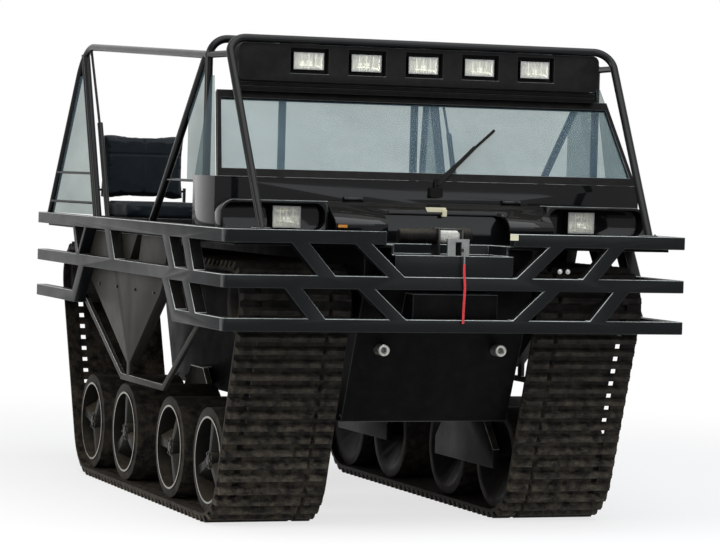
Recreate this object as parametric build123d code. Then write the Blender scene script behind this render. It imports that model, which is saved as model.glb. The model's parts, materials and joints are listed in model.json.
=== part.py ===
from build123d import *
import math
import os

os.makedirs("parts", exist_ok=True)

# Millimetres, +Z up, ground at zero. The front faces -Y and +X is the vehicle's left.
# Places along the vehicle are given as stations, counted back from the front guard.

# Guard frame of square rails
frame_length = 3480.0
frame_width = 2280.0
rail = 60.0
rail_corner = 14.0
mid_rail_drop = 205.0
low_rail_drop = 401.0
strut_width = 85.0
side_strut_width = 104.0
slim_strut_width = 36.0
tray_gap_right = 368.0
tray_gap_left = 262.0

# Track loops
track_margin = 75.0
track_width = 540.0
belt_thickness = 16.0
lug_height = 29.0
lug_foot = 36.0
lug_tip = 24.0
lug_pitch = 64.0
belt_play = 0.3

# Wheels inside the loops
road_radius = 250.0
first_wheel_station = 720.0
last_wheel_margin = 630.0
end_radius = 145.0
end_wheel_rise = 765.0
idler_station = 345.0
sprocket_margin = 215.0
wheel_inset = 35.0
tyre_wall = 42.0
rim_wall = 10.0
rim_step = 6.0
dish_depth = 150.0
inner_dish_depth = 90.0
dish_plate = 20.0
hub_radius = 48.0
spoke_width = 52.0
spoke_height = 70.0
axle_radius = 25.0
bore_play = 0.3

# Hull and decks
hull_margin = 45.0
hull_wall = 12.0
belly_rise = 205.0
nose_station = 150.0
nose_knee_drop = 202.0
nose_run = 270.0
tail_margin = 100.0
deck_clearance = 82.0
deck_thickness = 14.0
well_start = 520.0
well_end = 1150.0
engine_width = 520.0
engine_length = 750.0
engine_height = 618.0
engine_margin = 580.0

# Cage
tube_radius = 19.0
joint_play = 0.3
cage_height = 939.0
hoop_bend = 90.0
pillar_foot_x = 960.0
pillar_foot_station = 30.0
pillar_top_x = 978.0
pillar_top_station = 560.0
main_x = 1000.0
main_station = 773.0
side_bar_drop = 78.0
side_bar_rise = 105.0
rear_bend = 230.0
rear_corner_margin = 420.0
brace_foot_inset = 45.0
brace_foot_margin = 80.0
post_foot_margin = 791.0
post_spacing = 34.0

# Body in front of the riders
cowl_inset = 8.0
cowl_station = 400.0
cowl_wall = 15.0
cowl_height = 294.0
screen_run = 240.0
screen_rise = 404.0
screen_half_low = 1060.0
screen_half_high = 1000.0
screen_side_border = 22.0
screen_border = 44.0
screen_depth = 24.0
glass_thickness = 6.0
hood_half = 545.0
hood_skin = 12.0
hood_height = 190.0
lid_gap = 5.0
bay_right = 290.0
bay_left = 320.0
bay_back = 292.0
bay_corner = 40.0

half = frame_width / 2
rail_half = rail / 2
deck_edge = half - rail
track_outer_x = deck_edge - track_margin
track_mid_x = track_outer_x - track_width / 2
hull_half = track_outer_x - track_width - hull_margin
cowl_half = deck_edge - cowl_inset
wheel_width = track_width - 2 * wheel_inset

road_z = road_radius + belt_thickness + lug_height
end_wheel_z = road_z + end_wheel_rise
deck_bottom = end_wheel_z + end_radius + belt_thickness + lug_height + deck_clearance
deck_top = deck_bottom + deck_thickness
top_rail_z = deck_top + rail_half
mid_rail_z = top_rail_z - mid_rail_drop
low_rail_z = top_rail_z - low_rail_drop
rail_top = top_rail_z + rail_half
belly_z = road_z + belly_rise
cage_top = deck_top + cage_height
cowl_top = deck_top + cowl_height
sprocket_station = frame_length - sprocket_margin
tail_station = frame_length - tail_margin


def station(value):
    return value - frame_length / 2


def at(x, place, z):
    return Vector(x, station(place), z)


def block(x0, x1, y0, y1, z0, z1):
    """Box between two corners, with y given as stations."""
    size = (x1 - x0, y1 - y0, z1 - z0)
    return Pos((x0 + x1) / 2, station((y0 + y1) / 2), (z0 + z1) / 2) * Box(*size)


def side_shape(points, x0, x1):
    """Plate drawn in (station, z) and thick along X."""
    outline = Polyline(*[(station(y), z) for y, z in points], close=True)
    return extrude(Plane(origin=(x0, 0, 0), x_dir=(0, 1, 0), z_dir=(1, 0, 0)) * make_face(outline), x1 - x0)


def front_plane(place):
    """Plane across the vehicle whose thickness runs forward."""
    return Plane(origin=(0, station(place), 0), x_dir=(1, 0, 0), z_dir=(0, -1, 0))


def front_shape(points, y0, y1):
    """Plate drawn in (x, z) and thick along Y."""
    return extrude(front_plane(y1) * make_face(Polyline(*points, close=True)), y1 - y0)


def front_box(x0, x1, y0, y1, z0, z1, corner):
    """Box with its four edges along Y rounded."""
    face = Pos((x0 + x1) / 2, (z0 + z1) / 2) * RectangleRounded(x1 - x0, z1 - z0, corner)
    return extrude(front_plane(y1) * face, y1 - y0)


def cylinder_x(x0, x1, place, z, radius):
    face = Plane(origin=(x0, station(place), z), x_dir=(0, 1, 0), z_dir=(1, 0, 0)) * Circle(radius)
    return extrude(face, x1 - x0)


def join(shapes):
    whole = shapes[0]
    for shape in shapes[1:]:
        whole = whole + shape
    return whole


def bar(start, end, radius):
    """Straight round bar between two points."""
    along = end - start
    return extrude(Plane(origin=start, z_dir=along) * Circle(radius), along.length)


def bend_at(before, corner, after, bend):
    """First point, centre, axis, turn in degrees and last point of a round bend."""
    into = (corner - before).normalized()
    out = (after - corner).normalized()
    turn = into.get_angle(out)
    reach = bend * math.tan(math.radians(turn) / 2)
    first = corner - into * reach
    centre = first + (out - into * into.dot(out)).normalized() * bend
    return first, centre, into.cross(out), turn, corner + out * reach


def bent_bar(points, radius, bend):
    """Round bar along straight runs, joined by bends of one radius."""
    start = points[0]
    parts = []
    for before, corner, after in zip(points, points[1:], points[2:]):
        first, centre, axis, turn, last = bend_at(before, corner, after, bend)
        parts.append(bar(start, first, radius))
        section = Plane(origin=first, z_dir=corner - before) * Circle(radius)
        parts.append(revolve(section, Axis(centre, axis), turn))
        start = last
    parts.append(bar(start, points[-1], radius))
    return join(parts)


def mirrored(solid):
    return mirror(solid, about=Plane.YZ)


def write(name, shape):
    export_step(shape, f"parts/{name}.step")


def write_pair(name, right):
    write(f"{name}_right", right)
    write(f"{name}_left", mirrored(right))


# Road wheels: the spare length between their tyres is shared 5 to 11 to 5, so they stand in two pairs
last_wheel_station = frame_length - last_wheel_margin
spare = last_wheel_station - first_wheel_station - 6 * road_radius
road_stations = [first_wheel_station]
for share in (5, 11, 5):
    road_stations.append(road_stations[-1] + 2 * road_radius + spare * share / 21)

# The belt runs round four circles: two road wheels on the ground and the two end wheels above
loop_circles = [
    (road_stations[0], road_z, road_radius),
    (road_stations[-1], road_z, road_radius),
    (sprocket_station, end_wheel_z, end_radius),
    (idler_station, end_wheel_z, end_radius),
]


def loop_normals():
    """Outward normal of the straight run that leaves each circle."""
    normals = []
    for index, (y0, z0, r0) in enumerate(loop_circles):
        y1, z1, r1 = loop_circles[(index + 1) % len(loop_circles)]
        length = math.hypot(y1 - y0, z1 - z0)
        along = ((y1 - y0) / length, (z1 - z0) / length)
        lean = (r0 - r1) / length
        out = math.sqrt(1 - lean * lean)
        normals.append((along[0] * lean + along[1] * out, along[1] * lean - along[0] * out))
    return normals


def loop_pieces(offset):
    """Arcs and straight runs of the loop at an offset outside the wheels, in order."""
    pieces = []
    normals = loop_normals()
    for index, (y, z, radius) in enumerate(loop_circles):
        before = normals[index - 1]
        after = normals[index]
        start = math.atan2(before[1], before[0])
        turn = (math.atan2(after[1], after[0]) - start) % (2 * math.pi)
        reach = radius + offset
        pieces.append(("arc", (y, z), reach, start, turn))
        following = loop_circles[(index + 1) % len(loop_circles)]
        p = (y + after[0] * reach, z + after[1] * reach)
        q_reach = following[2] + offset
        q = (following[0] + after[0] * q_reach, following[1] + after[1] * q_reach)
        pieces.append(("run", p, q, after))
    return pieces


def piece_length(piece):
    return piece[2] * piece[4] if piece[0] == "arc" else math.dist(piece[1], piece[2])


def loop_place(offset, distance):
    """Point and outward normal at a distance along the loop."""
    pieces = loop_pieces(offset)
    distance %= sum(piece_length(piece) for piece in pieces)
    for piece in pieces:
        length = piece_length(piece)
        if distance <= length:
            break
        distance -= length
    if piece[0] == "arc":
        angle = piece[3] + distance / piece[2]
        normal = (math.cos(angle), math.sin(angle))
        return (piece[1][0] + normal[0] * piece[2], piece[1][1] + normal[1] * piece[2]), normal
    share = distance / length
    return tuple(p + (q - p) * share for p, q in zip(piece[1], piece[2])), piece[3]


def track_loop():
    """Belt with its cross lugs, for the right side."""
    length = sum(piece_length(piece) for piece in loop_pieces(belt_thickness))
    count = round(length / lug_pitch)
    lug = ((-lug_foot / 2, 0), (-lug_tip / 2, lug_height), (lug_tip / 2, lug_height), (lug_foot / 2, 0))
    outline = []
    for index in range(count):
        middle = (index + 0.5) * length / count
        for shift, height in lug:
            point, normal = loop_place(belt_thickness, middle + shift)
            outline.append((station(point[0] + normal[0] * height), point[1] + normal[1] * height))
    outer = make_face(Polyline(*outline, close=True))
    edges = []
    for piece in loop_pieces(0):
        if piece[0] == "arc":
            angles = [piece[3] + piece[4] * share for share in (0, 0.5, 1)]
            arc = [(station(piece[1][0] + math.cos(angle) * piece[2]), piece[1][1] + math.sin(angle) * piece[2])
                   for angle in angles]
            edges.append(ThreePointArc(*arc))
        else:
            edges.append(Line(*[(station(y), z) for y, z in (piece[1], piece[2])]))
    plane = Plane(origin=(-track_outer_x, 0, 0), x_dir=(0, 1, 0), z_dir=(1, 0, 0))
    return extrude(plane * (outer - make_face(edges)), track_width)


def turned(profile):
    """Solid of revolution about the X axis from (axial, radial) points."""
    return revolve(make_face(Polyline(*profile, close=True)), Axis.X)


edge = wheel_width / 2
plate_face = edge - dish_depth
plate_back = -edge + inner_dish_depth


def road_wheel(rotation):
    """Wide wheel about the origin with a deep closed dish and three spokes, facing +X."""
    reach = road_radius - belt_play
    rim = reach - tyre_wall
    dish = rim - rim_wall
    body = turned([(-edge, reach), (edge, reach), (edge, rim), (edge + rim_step, rim), (edge + rim_step, dish),
                   (plate_face, dish), (plate_face, 0), (plate_back, 0), (plate_back, hub_radius), (-edge, rim)])
    hub = cylinder_of(plate_face, plate_face + spoke_height, hub_radius)
    spokes = []
    for index in range(3):
        spoke = Pos(plate_face + spoke_height / 2, dish / 2, 0) * Box(spoke_height, dish, spoke_width)
        spokes.append(Rot(rotation + index * 120, 0, 0) * spoke)
    return join([body, hub] + spokes) - axle_bore(plate_back)


def cylinder_of(x0, x1, radius):
    face = Plane(origin=(x0, 0, 0), x_dir=(0, 1, 0), z_dir=(1, 0, 0)) * Circle(radius)
    return extrude(face, x1 - x0)


def axle_bore(start):
    """Blind bore from the inner side up to the outer plate's middle."""
    return cylinder_of(start - 1, plate_face - dish_plate, axle_radius + bore_play)


def end_wheel():
    """Plain wheel with one shallow dish and a closed back."""
    reach = end_radius - belt_play
    rim = reach - tyre_wall
    body = turned([(plate_back, 0), (plate_back, hub_radius), (-edge, rim), (-edge, reach), (edge, reach),
                   (edge, rim), (plate_face, hub_radius), (plate_face, 0)])
    return body - axle_bore(plate_back)


def on_right(wheel, place, z):
    """Wheel turned so that its dish faces outwards on the right side."""
    return Pos(-track_mid_x, station(place), z) * Rot(0, 0, 180) * wheel


# Tracks
write_pair("track", track_loop())

# Road wheels: turn of the spokes on the right and on the left, from the front
wheel_turns = [(20, 75), (95, 10), (50, 35), (5, 60)]
right_wheels = []
left_wheels = []
for place, (right_turn, left_turn) in zip(road_stations, wheel_turns):
    right_wheels.append(on_right(road_wheel(right_turn), place, road_z))
    left_wheels.append(mirrored(on_right(road_wheel(left_turn), place, road_z)))
write("road_wheels_right", Compound(children=right_wheels))
write("road_wheels_left", Compound(children=left_wheels))

# End wheels carry the loop high at the front and the rear
right_ends = [on_right(end_wheel(), place, end_wheel_z) for place in (idler_station, sprocket_station)]
write("end_wheels_right", Compound(children=right_ends))
write("end_wheels_left", Compound(children=[mirrored(wheel) for wheel in right_ends]))

# Walking beams hang from the hull side and carry two axles each
beam_gap = 8.0
beam_thickness = 34.0
beam_half_height = 45.0
beam_overhang = 60.0
pivot_rise = 270.0
pivot_half = 50.0
pivot_shoulder = 110.0
beam_outer_x = track_mid_x - wheel_width / 2 - beam_gap
beam_inner_x = beam_outer_x - beam_thickness
axle_end_x = track_mid_x + plate_face - dish_plate - 1


def walking_beam(first, second):
    """Beam between two axles with its pivot block on the hull side."""
    middle = (first + second) / 2
    pivot_z = road_z + pivot_rise
    outline = [(first - beam_overhang, road_z - beam_half_height), (second + beam_overhang, road_z - beam_half_height),
               (second + beam_overhang, road_z + beam_half_height), (middle + pivot_shoulder, pivot_z + pivot_half),
               (middle - pivot_shoulder, pivot_z + pivot_half), (first - beam_overhang, road_z + beam_half_height)]
    parts = [side_shape(outline, -beam_outer_x, -beam_inner_x),
             block(-beam_inner_x, -hull_half, middle - pivot_half, middle + pivot_half,
                   pivot_z - pivot_half, pivot_z + pivot_half)]
    for place in (first, second):
        parts.append(cylinder_x(-axle_end_x, -beam_outer_x, place, road_z, axle_radius))
    return join(parts)


right_beams = [walking_beam(*road_stations[:2]), walking_beam(*road_stations[2:])]
write("bogies_right", Compound(children=right_beams))
write("bogies_left", Compound(children=[mirrored(beam) for beam in right_beams]))

# Stub axles of the end wheels
end_axles = []
for place in (idler_station, sprocket_station):
    stub = cylinder_x(-axle_end_x, -beam_outer_x, place, end_wheel_z, axle_radius)
    flange = block(-beam_outer_x, -hull_half, place - pivot_half, place + pivot_half,
                   end_wheel_z - pivot_half, end_wheel_z + pivot_half)
    end_axles.extend([stub + flange, mirrored(stub + flange)])
write("end_axles", Compound(children=end_axles))

# Hull tub between the tracks, open at the top, with a box on its nose
knee_z = deck_bottom - nose_knee_drop
nose_foot = nose_station + nose_run
tail_slope = 180.0
tail_knee_rise = 400.0
nose_box_half = 211.0
nose_box_high = mid_rail_z - 50
nose_box_low = mid_rail_z - 171


def tub(inset, top):
    """Side outline of the tub, drawn in by its wall."""
    return [(nose_station + inset, top), (nose_station + inset, knee_z + inset * 0.2),
            (nose_foot + inset * 0.7, belly_z + inset), (tail_station - tail_slope - inset * 0.7, belly_z + inset),
            (tail_station - inset, belly_z + tail_knee_rise + inset * 0.2), (tail_station - inset, top)]


inner_half = hull_half - hull_wall
hull_space = side_shape(tub(hull_wall, deck_bottom + 1), -inner_half, inner_half)
nose_box = block(-nose_box_half, nose_box_half, rail, nose_station + nose_run / 2, nose_box_low, nose_box_high)
tray_right = 322.0
tray_left = tray_gap_left
tray_wall = 12.0
tray_depth = 46.0
tray_back = 300.0
tray_floor = deck_top - tray_depth
hull = side_shape(tub(0, deck_bottom), -hull_half, hull_half) + nose_box - hull_space
hull = hull - block(-tray_right, tray_left, 0, tray_back, tray_floor - tray_wall, deck_top)
write("hull", hull)

# Engine block on the hull floor
engine_end = frame_length - engine_margin
write("engine", block(-engine_width / 2, engine_width / 2, engine_end - engine_length, engine_end,
                      belly_z + hull_wall, belly_z + hull_wall + engine_height))

# Decks over the tracks and the centre covers, with the foot well between them
write_pair("deck", block(-deck_edge, -hull_half, rail, frame_length, deck_bottom, deck_top))
front_cover = block(-hull_half, hull_half, rail, well_start, deck_bottom, deck_top)
front_cover = front_cover - block(-tray_right, tray_left, rail - 1, tray_back, deck_bottom - 1, deck_top + 1)
rear_cover = block(-hull_half, hull_half, well_end, frame_length, deck_bottom, deck_top)
write("deck_centre", Compound(children=[front_cover, rear_cover]))

# Guards
upper_bay = (top_rail_z - rail_half, mid_rail_z + rail_half)
lower_bay = (mid_rail_z - rail_half, low_rail_z + rail_half)


def slanted(top, bottom, bay, width):
    """Parallelogram of a slanted strut in one bay, from its top and bottom middles."""
    w = width / 2
    return [(top - w, bay[0]), (top + w, bay[0]), (bottom + w, bay[1]), (bottom - w, bay[1])]


def mitre_end(top, bottom, width):
    """Where the sloping edge of a lower strut reaches the underside of the low rail."""
    slope = (top - bottom) / (lower_bay[0] - lower_bay[1])
    return bottom + width / 2 * math.copysign(1, slope) - slope * rail


def side_rail(start, end, z):
    return block(-half, -deck_edge, start, end, z - rail_half, z + rail_half)


# Side struts: top and bottom station, bay, width
rear_low_strut = (frame_length - 950, frame_length - 830)
front_low_strut = (946, 815)
side_struts = [
    (632, 533, upper_bay, side_strut_width),
    (958, 838, upper_bay, side_strut_width),
    (2018, 1917, upper_bay, side_strut_width),
    (frame_length - 1020, frame_length - 880, upper_bay, slim_strut_width),
    (frame_length - 780, frame_length - 860, upper_bay, slim_strut_width),
    (608, 492, lower_bay, side_strut_width),
    (*front_low_strut, lower_bay, side_strut_width),
    (*rear_low_strut, lower_bay, side_strut_width),
]
front_low_end = mitre_end(*front_low_strut, side_strut_width)
rear_low_start = mitre_end(*rear_low_strut, side_strut_width)
side_parts = [
    side_rail(rail, frame_length, top_rail_z),
    side_rail(rail, frame_length, mid_rail_z),
    side_rail(rail, front_low_end, low_rail_z),
    side_rail(rear_low_start, frame_length, low_rail_z),
]
for top, bottom, bay, width in side_struts:
    side_parts.append(side_shape(slanted(top, bottom, bay, width), -half, -deck_edge))
low_top = low_rail_z + rail_half
low_bottom = low_rail_z - rail_half
front_outer = front_low_strut[1] + side_strut_width / 2
rear_outer = rear_low_strut[1] - side_strut_width / 2
for outer, end in ((front_outer, front_low_end), (rear_outer, rear_low_start)):
    side_parts.append(side_shape([(outer, low_top), (end, low_top), (end, low_bottom)], -half, -deck_edge))
write_pair("guard", join(side_parts))


def front_rail(x0, x1, z):
    """Rail across the front with its outer upright corner rounded."""
    bar_solid = block(x0, x1, 0, rail, z - rail_half, z + rail_half)
    corners = [e for e in bar_solid.edges().filter_by(Axis.Z)
               if abs(abs(e.center().X) - half) < 1 and e.center().Y < station(1)]
    return fillet(corners, rail_corner)


# Front struts, mirrored about the middle: top and bottom offset, bay
front_struts = [(782, 655, upper_bay), (477, 320, upper_bay), (811, 698, lower_bay), (457, 308, lower_bay)]
front_parts = [front_rail(-half, half, mid_rail_z), front_rail(-half, half, low_rail_z),
               front_rail(-half, -tray_gap_right, top_rail_z), front_rail(tray_gap_left, half, top_rail_z)]
for top, bottom, bay in front_struts:
    for side in (-1, 1):
        outline = [(side * x, z) for x, z in slanted(top, bottom, bay, strut_width)]
        front_parts.append(front_shape(outline, 0, rail))
guard_front = join(front_parts)
write("guard_front", guard_front)

# Winch tray let into the front cover, standing on the middle rail
tray_front = 8.0
tray_sheet = [(tray_front, mid_rail_z + rail_half), (tray_front, tray_floor), (tray_back, tray_floor),
              (tray_back, tray_floor - tray_wall), (tray_front + tray_wall, tray_floor - tray_wall),
              (tray_front + tray_wall, mid_rail_z + rail_half)]
tray = join([
    side_shape(tray_sheet, -tray_right, tray_left),
    block(-tray_right, -tray_right + tray_wall, rail, tray_back, tray_floor, deck_top),
    block(tray_left - tray_wall, tray_left, rail, tray_back, tray_floor, deck_top),
    block(-tray_right, tray_left, tray_back - tray_wall, tray_back, tray_floor, deck_top),
])
write("winch_tray", tray - guard_front)

# Pointed side plate with two see-through slots, and the stays that meet below its tip
vee_thickness = 54.0
vee_station = 1775.0
vee_tip_z = road_z + 373
shoulder_z = mid_rail_z - rail_half - 33
slot_foot = mid_rail_z + rail_half
stay_width = 30.0
stay_thickness = 20.0
stay_foot_z = road_z + 310
vee_outline = [(vee_station + 845, deck_bottom), (vee_station + 822, shoulder_z), (vee_station, vee_tip_z),
               (vee_station - 540, shoulder_z - 53), (vee_station - 603, shoulder_z + 20),
               (vee_station - 670, deck_bottom)]
vee_slots = [
    [(vee_station + 203, deck_bottom), (vee_station + 425, deck_bottom),
     (vee_station + 305, slot_foot), (vee_station + 234, slot_foot)],
    [(vee_station - 198, deck_bottom), (vee_station - 113, deck_bottom),
     (vee_station + 17, slot_foot), (vee_station - 148, slot_foot)],
]


def flat_bar(start, end, width, x0, x1):
    """Flat bar between two (station, z) points."""
    run = math.dist(start, end)
    side = ((end[1] - start[1]) / run * width / 2, (start[0] - end[0]) / run * width / 2)
    outline = [(start[0] - side[0], start[1] - side[1]), (start[0] + side[0], start[1] + side[1]),
               (end[0] + side[0], end[1] + side[1]), (end[0] - side[0], end[1] - side[1])]
    return side_shape(outline, x0, x1)


front_foot = (1150.0, stay_foot_z)
rear_foot = (1905.0, stay_foot_z)
vee = side_shape(vee_outline, -deck_edge, -deck_edge + vee_thickness)
for slot in vee_slots:
    vee = vee - side_shape(slot, -deck_edge - 1, -deck_edge + vee_thickness + 1)
stay_span = (-deck_edge, -deck_edge + stay_thickness)
stays = [
    flat_bar((front_low_end - 220, low_bottom), front_foot, stay_width, *stay_span),
    flat_bar((rear_low_start + 30, low_rail_z), rear_foot, stay_width, *stay_span),
    flat_bar((front_foot[0] - 12, stay_foot_z), (rear_foot[0] + 12, stay_foot_z), stay_width, *stay_span),
    block(*stay_span, vee_station - 24, vee_station + 24, stay_foot_z, vee_tip_z + 40),
]
write_pair("vee", join([vee] + stays))

# Cage: two hoops across the vehicle
hoop_ends = [(-1, deck_top), (-1, cage_top), (1, cage_top), (1, deck_top)]
main_points = [at(side * main_x, main_station, z) for side, z in hoop_ends]
main_clear = bent_bar(main_points, tube_radius + joint_play, hoop_bend)
write("cage_main", bent_bar(main_points, tube_radius, hoop_bend))

side_bar_z = cage_top - side_bar_drop
pillar_foot = at(-pillar_foot_x, pillar_foot_station, rail_top)
pillar_top = at(-pillar_top_x, pillar_top_station, cage_top)
front_points = [pillar_foot, pillar_top, at(pillar_top_x, pillar_top_station, cage_top),
                at(pillar_foot_x, pillar_foot_station, rail_top)]
front_hoop = bent_bar(front_points, tube_radius, hoop_bend)
front_hoop = front_hoop - block(-half, half, -rail, well_start, rail_top - rail, rail_top)
link_radius = 16.0
side_share = (side_bar_z - rail_top) / (cage_top - rail_top)
side_link = bar(pillar_foot + (pillar_top - pillar_foot) * side_share, at(-main_x, main_station, side_bar_z),
                link_radius)
top_link_x = 700.0
top_link = bar(at(-top_link_x, pillar_top_station, cage_top), at(-top_link_x, main_station, cage_top), link_radius)
links = [side_link, mirrored(side_link), top_link, mirrored(top_link)]
write("cage_front", join([front_hoop] + links) - main_clear)

# Side frames: top bar with its round corner into the rear brace, diagonal, double post and thin bars
corner_station = frame_length - rear_corner_margin
side_points = [at(-main_x, main_station, side_bar_z), at(-main_x, corner_station, side_bar_z + side_bar_rise),
               at(-half + brace_foot_inset, frame_length - brace_foot_margin, rail_top - rail_half)]
first, centre, _, _, last = bend_at(*side_points, rear_bend)
post_top = centre + ((first - centre) + (last - centre)).normalized() * rear_bend
post_foot = at(-main_x, frame_length - post_foot_margin, deck_top - rail_half)
diagonal_top = at(-main_x, main_station + 39, side_bar_z + 2)
diagonal_foot = at(-main_x, 1760, deck_top - rail_half)
brace_foot = side_points[2]


def share_of(start, end, z):
    """Point of a line at a height."""
    return start + (end - start) * ((z - start.Z) / (end.Z - start.Z))


thin_radius = 7.0
grip_bar_radius = 15.0
sill_z = cowl_top - 28
post_shift = Vector(0, post_spacing, 0)
thin_shift = Vector(2 - 2 * thin_radius, 0, 0)
grip_top = at(-main_x, frame_length - 752, cowl_top + 256)
side_bars = [
    bent_bar(side_points, tube_radius, rear_bend),
    bar(diagonal_top, diagonal_foot, tube_radius),
    bar(post_top, post_foot, tube_radius),
    bar(post_top + post_shift, post_foot + post_shift, tube_radius),
    bar(at(-main_x, frame_length - 992, deck_top - rail_half), grip_top, grip_bar_radius),
    bar(grip_top - Vector(0, 0, 20), at(-main_x, corner_station - 110, side_bar_z + side_bar_rise - 5), thin_radius),
    bar(at(-main_x, main_station + tube_radius + joint_play, sill_z),
        share_of(diagonal_top, diagonal_foot, sill_z), thin_radius),
]
for height in (cowl_top - 12, cowl_top - 170):
    side_bars.append(bar(share_of(post_top, post_foot, height) + post_shift + thin_shift,
                         share_of(last, brace_foot, height) + thin_shift, thin_radius))
side_floor = block(-deck_edge, 0, 0, frame_length, deck_top - 2 * rail, deck_top)
rail_zone = block(-half, -deck_edge, 0, frame_length, deck_top - 2 * rail, rail_top)
write_pair("cage_side", join(side_bars) - main_clear - side_floor - rail_zone)

# Clear side panes: one behind the main hoop, one between the rear post and the brace
pane_thickness = 5.0
pane_play = 0.7


def offset_line(start, end, distance):
    """Line shifted sideways in the side view, as (station, z) start and direction."""
    along = (end - start).normalized()
    return (start.Y - along.Z * distance, start.Z + along.Y * distance), (along.Y, along.Z)


def crossing(first_line, second_line):
    (y0, z0), (dy0, dz0) = first_line
    (y1, z1), (dy1, dz1) = second_line
    share = ((y1 - y0) * dz1 - (z1 - z0) * dy1) / (dy0 * dz1 - dz0 * dy1)
    return y0 + dy0 * share, z0 + dz0 * share


def level(z):
    return (0.0, z), (1.0, 0.0)


def upright(place):
    return (station(place), 0.0), (0.0, 1.0)


def pane_of(corners, corner, normal, inset, thickness):
    """Flat pane through (y, z) corners, in the plane through a point and square to a normal."""
    points = []
    for y, z in corners:
        rise = (y - corner.Y) * normal.Y + (z - corner.Z) * normal.Z
        points.append(Vector(corner.X + inset - rise / normal.X, y, z))
    return extrude(make_face(Polyline(*points, close=True)), thickness, dir=(1, 0, 0))


room = tube_radius + pane_play
pane_back = 1090.0
pane_inset = thin_radius + pane_play
hoop_side = upright(main_station + room)
pane_end = upright(pane_back)
under_diagonal = offset_line(diagonal_top, diagonal_foot, -room)
under_rail = offset_line(side_points[0], side_points[1], -room)
pane_sill = level(sill_z + pane_inset)
front_pane = pane_of([crossing(hoop_side, pane_sill), crossing(pane_end, pane_sill),
                      crossing(pane_end, under_diagonal), crossing(under_rail, under_diagonal),
                      crossing(hoop_side, under_rail)],
                     diagonal_foot, Vector(1, 0, 0), 0, pane_thickness)
behind_post = offset_line(post_top + post_shift, post_foot + post_shift, room)
under_brace = offset_line(last, brace_foot, -room)
rear_foot = level(rail_top + pane_play)
rear_head = level(last.Z)
lean_normal = (brace_foot - post_foot).cross(post_top - post_foot)
rear_pane = pane_of([crossing(behind_post, rear_foot), crossing(under_brace, rear_foot),
                     crossing(under_brace, rear_head), crossing(behind_post, rear_head)],
                    post_foot, lean_normal, 0, pane_thickness)
side_panes = [front_pane, rear_pane]
write("side_glass", Compound(children=side_panes + [mirrored(pane) for pane in side_panes]))

# Cowl walls
hood_pin_station = cowl_station - 16
hood_pin_z = deck_top + hood_height + 10
hinge_x = 400.0
hinge_span = 70.0
hinge_eye = 11.0
hinge_pin = 5.0
hinge_play = 0.3
hinge_ear = 9.0
side_wall_end = main_station - tube_radius - 6


def hinge_ears(x, place, z, carrier):
    """Pin with two ears that run back to the wall that carries them."""
    outer = hinge_span / 2 + 1 + hinge_ear
    parts = [cylinder_x(x - outer, x + outer, place, z, hinge_pin)]
    for side in (-1, 1):
        low, high = sorted((x + side * outer, x + side * (outer - hinge_ear)))
        parts.append(cylinder_x(low, high, place, z, hinge_eye))
        parts.append(block(low, high, place, carrier, z - hinge_eye, z + hinge_eye))
    return join(parts)


cowl = join([
    block(-cowl_half, cowl_half, cowl_station, cowl_station + cowl_wall, deck_top, cowl_top),
    block(-cowl_half, -cowl_half + cowl_wall, cowl_station, side_wall_end, deck_top, cowl_top),
    block(cowl_half - cowl_wall, cowl_half, cowl_station, side_wall_end, deck_top, cowl_top),
    hinge_ears(-hinge_x, hood_pin_station, hood_pin_z, cowl_station),
    hinge_ears(hinge_x, hood_pin_station, hood_pin_z, cowl_station),
])
write("cowl", cowl)

# Windscreen: a leaning frame that narrows upwards, with its glass
screen_length = math.hypot(screen_run, screen_rise)
screen_normal = Vector(0, -screen_rise, screen_run).normalized()
screen_plane = Plane(origin=(0, station(cowl_station), cowl_top + joint_play), x_dir=(1, 0, 0), z_dir=screen_normal)


def screen_half_at(height):
    return screen_half_low + (screen_half_high - screen_half_low) * height / screen_length


def screen_panel(border, low, high, front, depth):
    """Trapezoid panel of the screen, between two heights up the slope."""
    a = screen_half_at(low) - border
    b = screen_half_at(high) - border
    face = make_face(Polyline((-a, low), (a, low), (b, high), (-b, high), close=True))
    return extrude(screen_plane.offset(front) * face, -depth)


glass_low = screen_border
glass_high = screen_length - screen_border
screen_frame = screen_panel(0, 0, screen_length, 0, screen_depth)
screen_frame = screen_frame - screen_panel(screen_side_border, glass_low, glass_high, 1, screen_depth + 2)
screen_frame = screen_frame - block(-half, half, 0, well_end, deck_top, cowl_top + joint_play)
write("windscreen_frame", screen_frame)
glass = screen_panel(screen_side_border + joint_play, glass_low + joint_play, glass_high - joint_play,
                     -screen_depth / 2, glass_thickness)
write("windscreen_glass", glass)

# Lamp bar under the front hoop, with lamps in deep bays and plain pads between
bar_front = pillar_top_station + 5
bar_depth = 90.0
bar_height = 174.0
bar_half = 920.0
bar_corner = 32.0
bay_depth = 50.0
bay_width = 190.0
bay_height = 120.0
lamp_width = 150.0
lamp_height = 80.0
lamp_depth = 45.0
lamp_pitch = 289.0
lamp_offset = 9.0
lamp_lift = 10.0
bar_top = cage_top - tube_radius - joint_play
bar_mid = bar_top - bar_height / 2
lamp_z = bar_mid + lamp_lift
lamp_bar = front_box(-bar_half, bar_half, bar_front, bar_front + bar_depth, bar_top - bar_height, bar_top, bar_corner)
lamps = []
for index in range(5):
    x = (index - 2) * lamp_pitch + lamp_offset
    lamp_bar = lamp_bar - block(x - bay_width / 2, x + bay_width / 2, bar_front - 1, bar_front + bay_depth,
                                lamp_z - bay_height / 2, lamp_z + bay_height / 2)
    lamps.append(block(x - lamp_width / 2, x + lamp_width / 2, bar_front + bay_depth - lamp_depth,
                       bar_front + bay_depth, lamp_z - lamp_height / 2, lamp_z + lamp_height / 2))
write("lamp_bar", lamp_bar)
write("roof_lamps", Compound(children=lamps))

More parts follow.
